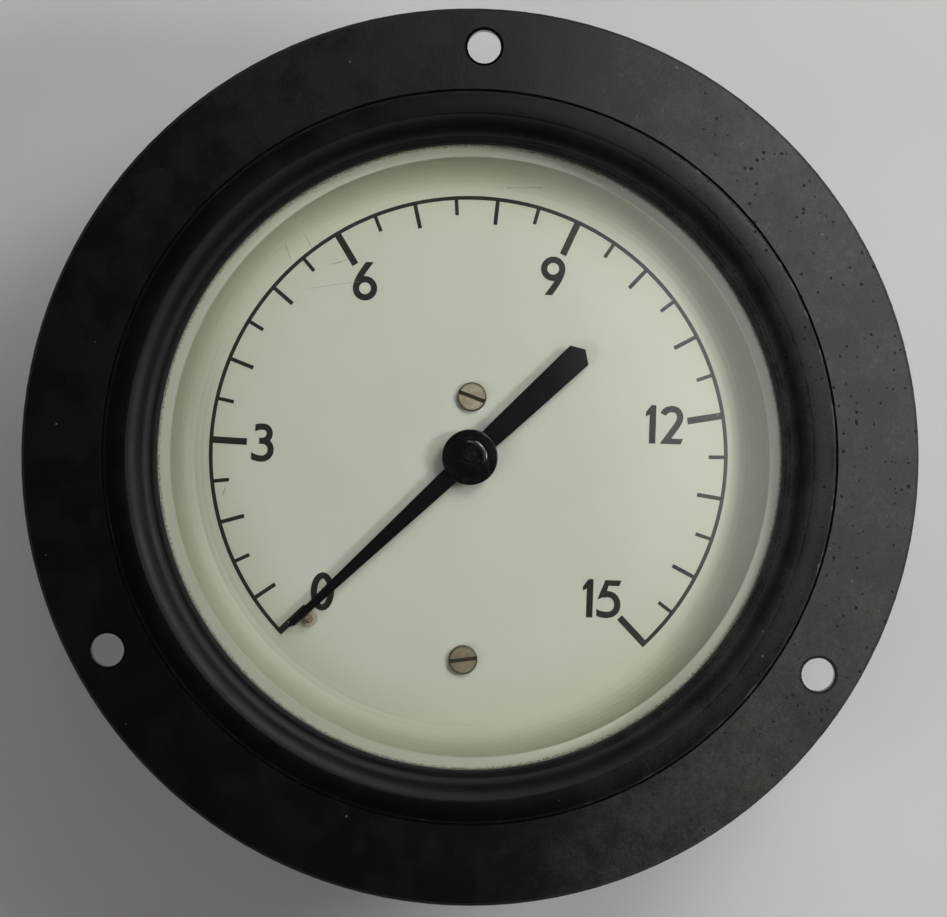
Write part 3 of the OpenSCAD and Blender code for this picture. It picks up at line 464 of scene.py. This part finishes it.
def printed(name, outlines, finish):
    """Overlapping outlines in millimetres, joined into one thin film of ink on the dial's face."""
    points, rings = [], []
    for ring in outlines:
        ring = [Vector(p) for p in ring]
        ring = ring if area(ring) > 0 else ring[::-1]
        rings.append(list(range(len(points), len(points) + len(ring))))
        points += ring
    points, _, cells, _, _, owners = delaunay_2d_cdt(points, [], rings, 0, 0.0001)
    inked = [tuple(cell) for cell, owner in zip(cells, owners) if owner]
    n = len(points)
    front, back = face_y * 1000 - film_up, face_y * 1000 + film_down
    points = [p + print_shift for p in points]
    solid = [(p.x / 1000, y / 1000, p.y / 1000) for y in (front, back) for p in points]
    sides = {(a, b) for cell in inked for a, b in zip(cell, cell[1:] + cell[:1])}
    walls = [(b, a, a + n, b + n) for a, b in sides if (b, a) not in sides]
    faces = inked + [tuple(i + n for i in reversed(cell)) for cell in inked] + sorted(walls)
    made = piece(name, solid, faces, finish)
    work = bmesh.new()
    work.from_mesh(made.data)
    bmesh.ops.delete(work, geom=[v for v in work.verts if not v.link_faces], context="VERTS")
    work.to_mesh(made.data)
    work.free()
    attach(made, "case")
    return made


def scale_ink():
    finish, tree, shader, place = material("scale_ink", Specular_IOR_Level=0.25)
    fine = placed(tree, "grain", place, {"Size": 0.0003, "Detail": 4.0})
    chips = placed(tree, "spots", place, {"Cell": 0.0021, "Part": 0.12, "Share": 0.3})
    colour = mixed(tree, fine, (0.006, 0.0065, 0.004, 1), (0.014, 0.0145, 0.010, 1))
    colour = mixed(tree, calculate(tree, "MULTIPLY", chips, 0.35), colour, (0.45, 0.46, 0.38, 1))
    surface(tree, shader, scratched(tree, place, colour), graded(tree, fine, 0.0, 1.0, 0.5, 0.65))
    return finish


ink = scale_ink()
half_steps = [first_value + i / 2 for i in range(int((top_value - first_value) * 2) + 1)]
printed("scale_marks", scale_line() + [mark(value) for value in half_steps], ink)


# Numerals: plain geometric figures at every third unit, printed upright with the scale.
# Each is drawn with strokes of one width, on a base line with its middle at zero.
cap_h, stroke_w = 6.5, 1.08
number_r = {0: 33.7, 3: 34.8, 6: 34.2, 9: 33.5, 12: 33.6, 15: 33.1}
pair_x = (-2.06, 1.17)


def bend(start, *runs, steps=9):
    """Points along joined curves: each run is two handles and an end, or an end alone for a straight."""
    line = [Vector(start)]
    for run in runs:
        p0, rest = line[-1], [Vector(p) for p in run]
        if len(rest) == 1:
            line += rest
            continue
        p1, p2, p3 = rest
        for i in range(1, steps + 1):
            t = i / steps
            u = 1 - t
            line.append(u ** 3 * p0 + 3 * u * u * t * p1 + 3 * u * t * t * p2 + t ** 3 * p3)
    return line


def oval(middle, rx, rz, steps=40):
    turns = [tau * i / steps for i in range(steps + 1)]
    return [Vector((middle[0] + rx * cos(a), middle[1] + rz * sin(a))) for a in turns]


def stroke(line, width=stroke_w):
    """Four-sided cells along a line, each the width of the stroke."""
    closed = (line[0] - line[-1]).length < 1e-6
    sides = []
    for i, p in enumerate(line):
        before = line[i - 1] if i else line[-2] if closed else p
        after = line[i + 1] if i < len(line) - 1 else line[1] if closed else p
        way = (after - before).normalized()
        off = Vector((-way.y, way.x)) * width / 2
        sides.append((p - off, p + off))
    return [[a[0], b[0], b[1], a[1]] for a, b in zip(sides, sides[1:])]


def cut(cells, axis, level, above=True):
    """The cells on one side of a level, trimmed where they cross it."""
    kept = []
    for cell in cells:
        inside = [(p[axis] >= level) == above for p in cell]
        ring = []
        for i, p in enumerate(cell):
            q, here, there = cell[(i + 1) % len(cell)], inside[i], inside[(i + 1) % len(cell)]
            if here:
                ring.append(p)
            if here != there:
                ring.append(p.lerp(q, (level - p[axis]) / (q[axis] - p[axis])))
        if len(ring) > 2 and abs(area(ring)) > 1e-6:
            kept.append(ring)
    return kept


def figure(*corners):
    return [[Vector(p) for p in corners]]


six = stroke(oval((0, 2.03), 1.53, 1.53)) + cut(stroke(bend(
    (-1.53, 2.03), ((-1.53, 3.45), (-0.33, 5.05), (0.965, 6.91)))), 1, cap_h, above=False)
figures = {
    "0": stroke(oval((0, cap_h / 2), 1.44, cap_h / 2 - stroke_w / 2)),
    "1": figure((-0.55, 0), (0.55, 0), (0.55, cap_h), (-0.28, cap_h), (-0.6, 5.1), (-0.55, 5))
         + figure((-0.28, cap_h), (-1.22, 5.25), (-1.22, 4.5), (0.3, 5.35)),
    "2": cut(stroke(bend((-1.5, 4.98), ((-1.25, 5.6), (-0.65, 5.93), (0.05, 5.93)),
                         ((0.87, 5.93), (1.38, 5.3), (1.38, 4.55)), ((1.38, 3.95), (1.0, 3.35), (0.62, 2.8)),
                         ((-1.4, -0.18),))), 1, 0)
         + figure((-1.95, 0), (1.6, 0), (2.0, 0.95), (-1.3, 0.95)),
    "3": cut(stroke(bend((-1.6, 5.55), ((-1.1, 5.85), (-0.6, 5.96), (-0.1, 5.96)),
                         ((0.65, 5.96), (1.14, 5.5), (1.14, 4.83)), ((1.14, 4.1), (0.6, 3.54), (-0.05, 3.54)),
                         ((-0.6, 3.54),))), 0, -1.33)
         + cut(stroke(bend((-0.05, 3.54), ((0.8, 3.54), (1.38, 2.9), (1.38, 2.08)),
                           ((1.38, 1.15), (0.7, 0.54), (-0.2, 0.54)),
                           ((-0.85, 0.54), (-1.5, 0.75), (-2.15, 1.12)))), 0, -1.9),
    "5": figure((-0.68, 6.42), (-1.98, 3.06), (-0.3, 3.75), (-0.36, 4.5), (-0.11, 5.46))
         + figure((-0.68, 6.42), (-0.6, 5.46), (1.67, 5.46), (2.08, 6.42))
         + cut(stroke(bend((-1.05, 3.72), ((-0.8, 3.98), (-0.55, 4.06), (-0.28, 4.06)),
                           ((0.75, 4.06), (1.46, 3.25), (1.46, 2.25)),
                           ((1.46, 1.2), (0.7, 0.53), (-0.35, 0.53)),
                           ((-1.0, 0.53), (-1.6, 0.66), (-2.3, 1.02)))), 0, -2.05),
    "6": six,
    "9": [[Vector((-p.x, cap_h - p.y)) for p in cell] for cell in six],
}


def numeral(value):
    digits = str(value)
    angle = clock(value if value else first_value)
    places = pair_x if len(digits) == 2 else (0,)
    moved = []
    for digit, x in zip(digits, places):
        corner = at(number_r[value], angle) + Vector((x, -cap_h / 2))
        moved += [[p + corner for p in cell] for cell in figures[digit]]
    return moved


printed("numerals", [cell for value in number_r for cell in numeral(value)], ink)


# Dial screws and stop pin: turned brass with dull nickel plate, the pin riveted through the dial.
# Grime lies in the slots, and the heads are darker in a ring at their edge. The plate is worn brown, most on
# the lower screw and the pin.
screw_z = (0.0102, -0.0342)
screw_head_r = 0.00245


def nickel():
    finish, tree, shader, place = material("screw_nickel", Metallic=1.0)
    cloud = placed(tree, "grain", place, {"Size": 0.0009, "Detail": 4.0})
    fine = placed(tree, "grain", place, {"Size": 0.00012, "Detail": 3.0})
    part = add(tree, "SeparateXYZ", {"Vector": place}).outputs
    flat = add(tree, "VectorMath", {0: place, 1: (1, 0, 1)}, operation="MULTIPLY").outputs[0]
    out = [add(tree, "VectorMath", {0: flat, 1: (0, 0, z)}, operation="DISTANCE").outputs["Value"]
           for z in screw_z]
    rim = graded(tree, calculate(tree, "MINIMUM", *out), screw_head_r - 0.0005, screw_head_r - 0.0002)
    slot_dirt = graded(tree, part["Y"], face_y - 0.0010, face_y - 0.0006)
    colour = mixed(tree, cloud, (0.34, 0.315, 0.235, 1), (0.25, 0.205, 0.14, 1))
    colour = mixed(tree, graded(tree, part["Z"], -0.01, -0.03, 0.0, 0.5), colour, (0.19, 0.14, 0.085, 1))
    # The heads are darker in a ring at their edge.
    colour = mixed(tree, calculate(tree, "MULTIPLY", rim, 0.6), colour, (0.10, 0.095, 0.065, 1))
    colour = mixed(tree, slot_dirt, colour, (0.06, 0.052, 0.035, 1))
    rough = calculate(tree, "ADD", graded(tree, fine, 0.0, 1.0, 0.36, 0.5),
                      calculate(tree, "MULTIPLY", slot_dirt, 0.3))
    surface(tree, shader, colour, rough, fine, 0.000008)
    return finish


def worn_pin():
    """Nickel worn to brown brass on the pin's end, over a pale dull collar."""
    finish, tree, shader, place = material("pin_nickel")
    fine = placed(tree, "grain", place, {"Size": 0.0003, "Detail": 4.0})
    depth = add(tree, "SeparateXYZ", {"Vector": place}).outputs["Y"]
    collar = graded(tree, depth, face_y - 0.0010, face_y - 0.0007)
    tip = mixed(tree, fine, (0.10, 0.062, 0.04, 1), (0.30, 0.23, 0.16, 1))
    colour = mixed(tree, collar, tip, mixed(tree, fine, (0.30, 0.26, 0.19, 1), (0.42, 0.385, 0.30, 1)))
    tree.links.new(graded(tree, collar, 0.0, 1.0, 0.7, 0.25), shader.inputs["Metallic"])
    surface(tree, shader, colour, graded(tree, fine, 0.0, 1.0, 0.4, 0.6), fine, 0.000008)
    return finish


dress(nickel(), "dial_screws")
dress(worn_pin(), "stop_pin")


# Socket: machined from brass bar, with the pressure passage through it and the stem's tapered pipe thread.
# It replaces the plain stem with cut threads, and the metal has dulled with a brown bloom in the recesses.
def brushed_effect():
    """Fine parallel tool marks across one direction of the surface."""
    tree, given, out = effect("tool_marks", {"Place": None, "Size": 0.0001}, ["Mask"])
    long = add(tree, "VectorMath", {0: given["Place"], 1: (1, 1, 0.05)}, operation="MULTIPLY").outputs[0]
    scale = calculate(tree, "DIVIDE", 1.0, given["Size"])
    noise = add(tree, "TexNoise", {"Vector": long, "Scale": scale, "Detail": 2.0})
    tree.links.new(graded(tree, noise.outputs["Fac"], 0.3, 0.7), out["Mask"])


def metal(name, fresh, dull, low=0.28, high=0.42):
    """Bare worked metal under a dull bloom, its roughness from low to high across the tool marks."""
    finish, tree, shader, place = material(name, Metallic=1.0)
    bloom = placed(tree, "grain", place, {"Size": 0.004, "Detail": 5.0})
    fine = placed(tree, "grain", place, {"Size": 0.0004, "Detail": 3.0})
    tool = placed(tree, "tool_marks", place, {"Size": 0.00016})
    spots = placed(tree, "spots", place, {"Cell": 0.003, "Part": 0.16, "Share": 0.35})
    colour = mixed(tree, calculate(tree, "MULTIPLY", bloom, 0.7), fresh, dull)
    colour = mixed(tree, calculate(tree, "MULTIPLY", spots, 0.5), colour, dull)
    rough = calculate(tree, "ADD", graded(tree, tool, 0.0, 1.0, low, high),
                      calculate(tree, "MULTIPLY", spots, 0.2))
    height = calculate(tree, "ADD", calculate(tree, "MULTIPLY", fine, 0.5), tool)
    surface(tree, shader, colour, rough, height, 0.000005)
    return finish


brushed_effect()
brass = metal("brass", (0.62, 0.44, 0.19, 1), (0.33, 0.20, 0.085, 1))
stem_at = Vector((0, -0.036))
thread_r, thread_pitch, thread_cut = 0.006858, 0.001411, 0.00105
thread_taper, thread_flat = 1 / 32, 0.12
thread_y, stem_end_y = 0.0548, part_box("socket")[1].y
lead_in, lead_in_slope = 0.0010, 0.9
port_r = 0.002


def thread_radius(y, turn):
    """Radius of the tapered thread at a depth and a turn round the stem, 0 to 1."""
    rise = abs(((y - thread_y) / thread_pitch - turn) % 1 - 0.5) * 2
    shape = min(1, max(0, (rise - thread_flat) / (1 - 2 * thread_flat)))
    outer = thread_r - (y - thread_y) * thread_taper
    past_lead_in = max(0, y - stem_end_y + lead_in)
    return outer - thread_cut * (1 - shape) - past_lead_in * lead_in_slope


def threaded_socket():
    work = bmesh.new()
    work.from_mesh(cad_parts["socket"].data)
    bmesh.ops.remove_doubles(work, verts=work.verts, dist=1e-7)
    everything = work.verts[:] + work.edges[:] + work.faces[:]
    cut_off = bmesh.ops.bisect_plane(work, geom=everything, plane_co=(0, thread_y, 0), plane_no=(0, 1, 0),
                                     clear_outer=True, dist=1e-7)
    open_edges = [g for g in cut_off["geom_cut"] if isinstance(g, bmesh.types.BMEdge)]
    bmesh.ops.edgeloop_fill(work, edges=open_edges)
    around, per_pitch = 96, 8
    rows = round((stem_end_y - thread_y) / thread_pitch * per_pitch)
    rings = []
    for j in range(rows + 1):
        y = thread_y + (stem_end_y - thread_y) * j / rows
        ring = []
        for i in range(around):
            r, a = thread_radius(y, i / around), tau * i / around
            ring.append(work.verts.new((stem_at.x + r * cos(a), y, stem_at.y + r * sin(a))))
        rings.append(ring)
    for y in (stem_end_y, thread_y):
        rings.append([work.verts.new((stem_at.x + port_r * cos(tau * i / around), y,
                                      stem_at.y + port_r * sin(tau * i / around))) for i in range(around)])
    rings.append(rings[0])
    for a, b in zip(rings, rings[1:]):
        for i in range(around):
            k = (i + 1) % around
            work.faces.new((a[i], a[k], b[k], b[i])).smooth = True
    mesh = bpy.data.meshes.new("threaded_socket")
    bmesh.ops.recalc_face_normals(work, faces=work.faces)
    work.to_mesh(mesh)
    work.free()
    mesh.materials.clear()
    mesh.materials.append(brass)
    mesh.polygons.foreach_set("material_index", [0] * len(mesh.polygons))
    mesh.set_sharp_from_angle(angle=radians(35))
    made = bpy.data.objects.new("threaded_socket", mesh)
    bpy.context.scene.collection.objects.link(made)
    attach(made, "case")
    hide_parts("socket")


threaded_socket()
dress(brass, "restrictor", "dial_post")


# Case screws: plain steel cheese heads driven from behind through the case into the socket's pad.
# The steel has greyed, with a few rust-brown freckles.
steel = metal("steel", (0.50, 0.49, 0.47, 1), (0.26, 0.22, 0.19, 1), 0.32, 0.48)
dress(steel, "case_screws")


# Pressure tube: phosphor bronze tube flattened and coiled round the movement, brazed at both ends.
# It runs from its fixed root in the socket to the free end that pulls the link.
tube_end_angle, tube_root_angle = radians(2), radians(264.78)
coil_r, tube_w, tube_t = 0.044, 0.013, 0.0044
tube_y = 0.024


def flattened(steps=8):
    """The tube's section as (outward, along the axis), with flat sides and round edges."""
    flat = (tube_w - tube_t) / 2
    half = [(tube_t / 2 * cos(pi * i / steps), tube_t / 2 * sin(pi * i / steps)) for i in range(steps + 1)]
    return [(x, z + flat) for x, z in half] + [(-x, -z - flat) for x, z in half]


def coiled_tube(rings=150):
    section = flattened()
    points, faces = [], []
    for j in range(rings + 1):
        a = tube_end_angle + (tube_root_angle - tube_end_angle) * j / rings
        points += [((coil_r + u) * cos(a), tube_y + v, (coil_r + u) * sin(a)) for u, v in section]
    n = len(section)
    for j in range(rings):
        faces += [(j * n + i, j * n + (i + 1) % n, (j + 1) * n + (i + 1) % n, (j + 1) * n + i)
                  for i in range(n)]
    faces += [tuple(reversed(range(n))), tuple(rings * n + i for i in range(n))]
    bronze = metal("tube_bronze", (0.60, 0.36, 0.17, 1), (0.30, 0.16, 0.075, 1), 0.25, 0.4)
    tube = piece("coiled_tube", points, faces, bronze, smooth=True)
    tube.data.set_sharp_from_angle(angle=radians(50))
    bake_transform(tube)
    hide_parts("pressure_tube")


coiled_tube()


# Movement: two brass plates on turned pillars, screwed to the socket's tongue.
# Sector, link and collar are stamped or turned from brass, and shafts, pins and screws are steel.
dress(brass, "front_plate", "rear_plate", "pillars", "hairspring_stud", "hairspring_collet", "sector_gear",
      "span_nut", "link", "tube_end")
dress(steel, "pillar_screws", "movement_screws", "sector_arbor", "span_screw", "tip_pin")
dress(metal("spring_steel", (0.46, 0.46, 0.48, 1), (0.25, 0.23, 0.22, 1), 0.2, 0.3), "hairspring")


# Pointer: a needle and tail stamped from thin sheet, bent back a little beyond the hub, with soft die edges.
# It is riveted to a turned hub, and both have black semi-gloss enamel, as has the tip of the shaft.
def pointer_enamel(name, roughness, shine):
    finish, tree, shader, place = material(name, Specular_IOR_Level=shine)
    fine = placed(tree, "grain", place, {"Size": 0.0006, "Detail": 3.0})
    dust = placed(tree, "spots", place, {"Cell": 0.0028, "Part": 0.09, "Share": 0.35})
    colour = mixed(tree, fine, (0.0004, 0.0005, 0.0006, 1), (0.0010, 0.0011, 0.0012, 1))
    colour = mixed(tree, calculate(tree, "MULTIPLY", dust, 0.25), colour, (0.2, 0.19, 0.17, 1))
    surface(tree, shader, colour, graded(tree, fine, 0.0, 1.0, roughness, roughness + 0.06), fine, 0.000003)
    return finish


def shaft_steel():
    """Steel, blackened where the shaft's tip stands in the hub."""
    finish, tree, shader, place = material("pointer_shaft", Specular_IOR_Level=0.15)
    tool = placed(tree, "tool_marks", place, {"Size": 0.0001})
    depth = add(tree, "SeparateXYZ", {"Vector": place}).outputs["Y"]
    bare = graded(tree, depth, face_y - 0.0025, face_y - 0.0020)
    colour = mixed(tree, bare, (0.0025, 0.0025, 0.003, 1), (0.48, 0.47, 0.45, 1))
    tree.links.new(bare, shader.inputs["Metallic"])
    surface(tree, shader, colour, graded(tree, tool, 0.0, 1.0, 0.25, 0.38), tool, 0.000004)
    return finish


blade_front, blade_back = (corner.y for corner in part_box("pointer_blade"))
zero_clock, crease_r, tail_bend = 225, 7.0, 1.6
needle = [(42.0, 0), (40.84, 0.58), (4.7, 1.5)]
tail = [(-4.7, 1.75), (-crease_r, 1.83), (-25.2, 2.24), (-26.6, 0)]
tail_black = pointer_enamel("pointer_enamel", 0.32, 0.11)


def blade():
    """The blade's outline, cut across at the crease and at the hub so that it can bend there."""
    side = needle[1:] + tail[:-1]
    rows = [[(x, w), (x, -w)] for x, w in side]
    way, across = at(1, zero_clock), at(1, zero_clock + 90)

    def corner(x, w, back):
        bent = max(0, -x - crease_r) * sin(radians(tail_bend))
        flat = way * x + across * w
        return (flat.x / 1000, (blade_back if back else blade_front) + bent / 1000, flat.y / 1000)

    points = [corner(*needle[0], False)] + [corner(*p, False) for row in rows for p in row]
    points.append(corner(*tail[-1], False))
    n = len(points)
    points += [corner(*needle[0], True)] + [corner(*p, True) for row in rows for p in row]
    points.append(corner(*tail[-1], True))
    middle = [(i, i + 1, i + 3, i + 2) for i in range(1, 2 * len(rows) - 1, 2)]
    top = [(0, 2, 1)] + middle + [(n - 3, n - 2, n - 1)]
    edge = [0] + list(range(1, n - 1, 2)) + [n - 1] + list(range(n - 2, 0, -2))
    walls = [(a, b, b + n, a + n) for a, b in zip(edge, edge[1:] + edge[:1])]
    back = [tuple(i + n for i in reversed(f)) for f in top]
    made = piece("pointer", points, top + back + walls, tail_black)
    work = bmesh.new()
    work.from_mesh(made.data)
    bmesh.ops.recalc_face_normals(work, faces=work.faces)
    work.to_mesh(made.data)
    work.free()
    bevel = made.modifiers.new("die_edge", "BEVEL")
    bevel.width, bevel.segments, bevel.limit_method = 0.00009, 2, "ANGLE"
    bevel.angle_limit = radians(40)
    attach(made, "pointer")
    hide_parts("pointer_blade")


def hub():
    """The hub, turned with a raised ring and soft edges, and its sleeve down to the back of the blade."""
    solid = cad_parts["pointer_hub"].data.vertices
    corners = [Vector((hypot(v.co.x, v.co.z), v.co.y)) * 1000 for v in solid]
    front, back = min(c.y for c in corners), max(c.y for c in corners)
    bore_r, disc_r = min(c.x for c in corners), max(c.x for c in corners)
    sleeve_r = max(c.x for c in corners if c.y > back - 0.01)
    step, fall, ring_r, soft = 0.3, 0.7, 3.05, 0.2
    quarter = [radians(a) for a in range(0, 91, 10)]
    profile = [(bore_r, front), (ring_r - fall - 0.04, front)]
    profile += [(ring_r - fall + fall * sin(a), front + step - step * cos(a)) for a in quarter]
    profile += [(ring_r + 0.04, front + step), (disc_r - soft - 0.04, front + step)]
    profile += [(disc_r - soft + soft * sin(a), front + step + soft - soft * cos(a)) for a in quarter]
    profile += [(disc_r, blade_front * 1000), (sleeve_r, blade_front * 1000)]
    profile += [(sleeve_r, back), (bore_r, back)]
    made = turned("hub", profile, pointer_enamel("hub_enamel", 0.08, 0.6), 96)
    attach(made, "pointer")
    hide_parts("pointer_hub")


blade()
hub()
dress(shaft_steel(), "pinion_arbor")


# Table: the pale top that the gauge lies on, face up, with the end of its stem against it.
# Only its upper side shows, so that the back of the gauge can be seen too.
def table():
    half = 1.6
    y = stem_end_y + 0.0005
    corners = [(-half, y, -half), (half, y, -half), (half, y, half), (-half, y, half)]
    finish, tree, shader, place = material("table_top", Roughness=0.7)
    cloud = placed(tree, "grain", place, {"Size": 0.08, "Detail": 2.0})
    surface(tree, shader, mixed(tree, cloud, (0.61, 0.605, 0.585, 1), (0.65, 0.645, 0.625, 1)))
    ray = add(tree, "LightPath").outputs
    seen = calculate(tree, "MAXIMUM", ray["Is Camera Ray"], ray["Is Glossy Ray"])
    seen = calculate(tree, "MAXIMUM", seen, ray["Is Transmission Ray"])
    behind = add(tree, "NewGeometry").outputs["Backfacing"]
    shown = calculate(tree, "MULTIPLY", seen, calculate(tree, "SUBTRACT", 1.0, behind))
    clear = add(tree, "BsdfTransparent").outputs[0]
    both = add(tree, "MixShader", {0: shown, 1: clear, 2: shader.outputs[0]})
    tree.links.new(both.outputs[0], tree.nodes["Material Output"].inputs["Surface"])
    piece("table_top", corners, [(0, 1, 2, 3)], finish)


table()


# Light: a lamp at the right throws the rim's shadow into the cove, with soft boxes above it and overhead. Two
# boxes at the left fill the shadows, too dull to mirror in the window or the enamel, and two light the back.
# A glow at the right of the camera shines in the flat front of the flange.
def soft_box(name, place, size, watts, mirrored=True):
    lamp = bpy.data.lights.new(name, "AREA")
    lamp.shape, lamp.size, lamp.size_y = "RECTANGLE", *size
    lamp.energy = watts
    made = bpy.data.objects.new(name, lamp)
    made.location = place
    made.rotation_euler = (-Vector(place)).to_track_quat("-Z", "Y").to_euler()
    made.visible_glossy = made.visible_transmission = mirrored
    bpy.context.scene.collection.objects.link(made)


soft_box("right_lamp", (0.250, -0.290, 0.035), (0.09, 0.09), 0.63)
soft_box("upper_right_box", (0.182, -0.317, 0.259), (0.16, 0.16), 0.64)
soft_box("front_box", (0.190, -0.460, 0.190), (0.13, 0.13), 0.58)
soft_box("top_box", (0.0, -0.866, 0.5), (0.25, 0.25), 0.45)
soft_box("lower_left_box", (-0.579, -0.707, -0.406), (0.40, 0.40), 2.1, mirrored=False)
soft_box("left_box", (-0.760, -0.640, -0.160), (0.50, 0.50), 0.5, mirrored=False)
soft_box("rear_right_box", (-0.6, 1.1, 0.7), (0.60, 0.60), 5.0)
soft_box("rear_left_box", (0.8, 0.9, 0.1), (0.50, 0.70), 3.0)


def studio():
    """The surroundings: dark in front but for the glow beside the camera, and plain pale grey behind."""
    bright, pale, dim = 1.6, 0.65, 0.010
    world = bpy.data.worlds.new("studio")
    bpy.context.scene.world = world
    world.use_nodes = True
    tree = world.node_tree
    way = add(tree, "TexCoord").outputs["Generated"]
    side = add(tree, "VectorMath", {0: way, 1: (0.95, 0, 0.31)}, operation="DOT_PRODUCT").outputs["Value"]
    part = add(tree, "SeparateXYZ", {"Vector": way}).outputs
    depth = part["Y"]
    glow = calculate(tree, "MULTIPLY", graded(tree, side, 0.02, 0.085), graded(tree, depth, -0.96, -0.985))
    glow = calculate(tree, "MULTIPLY", glow, graded(tree, part["Z"], -0.095, -0.038))
    room = mixed(tree, glow, (dim, dim, dim, 1), (bright, bright, bright, 1))
    room = mixed(tree, graded(tree, depth, 0.0, 0.2), room, (pale, pale, pale, 1))
    shown = mixed(tree, add(tree, "LightPath").outputs["Is Camera Ray"], room, (0.72, 0.715, 0.70, 1))
    tree.links.new(shown, tree.nodes["Background"].inputs["Color"])


studio()


# Camera: straight above the dial at arm's length, turned so that the gauge lies two degrees clockwise.
# Its long lens fills the height of the frame with the flange.
camera_away, camera_x, camera_z = 0.673, 0.0006, -0.0002
lens = bpy.data.cameras.new("camera")
lens.sensor_width, lens.lens = 36.0, 153.3
lens.clip_start, lens.clip_end = 0.01, 20.0
camera = bpy.data.objects.new("camera", lens)
roll = Matrix.Rotation(radians(2.0), 4, "Z")
camera.matrix_world = Matrix.Translation((camera_x, -camera_away, camera_z)) @ \
    Matrix.Rotation(radians(90), 4, "X") @ roll
bpy.context.scene.collection.objects.link(camera)
bpy.context.scene.camera = camera
bpy.context.scene.view_settings.view_transform = "Standard"
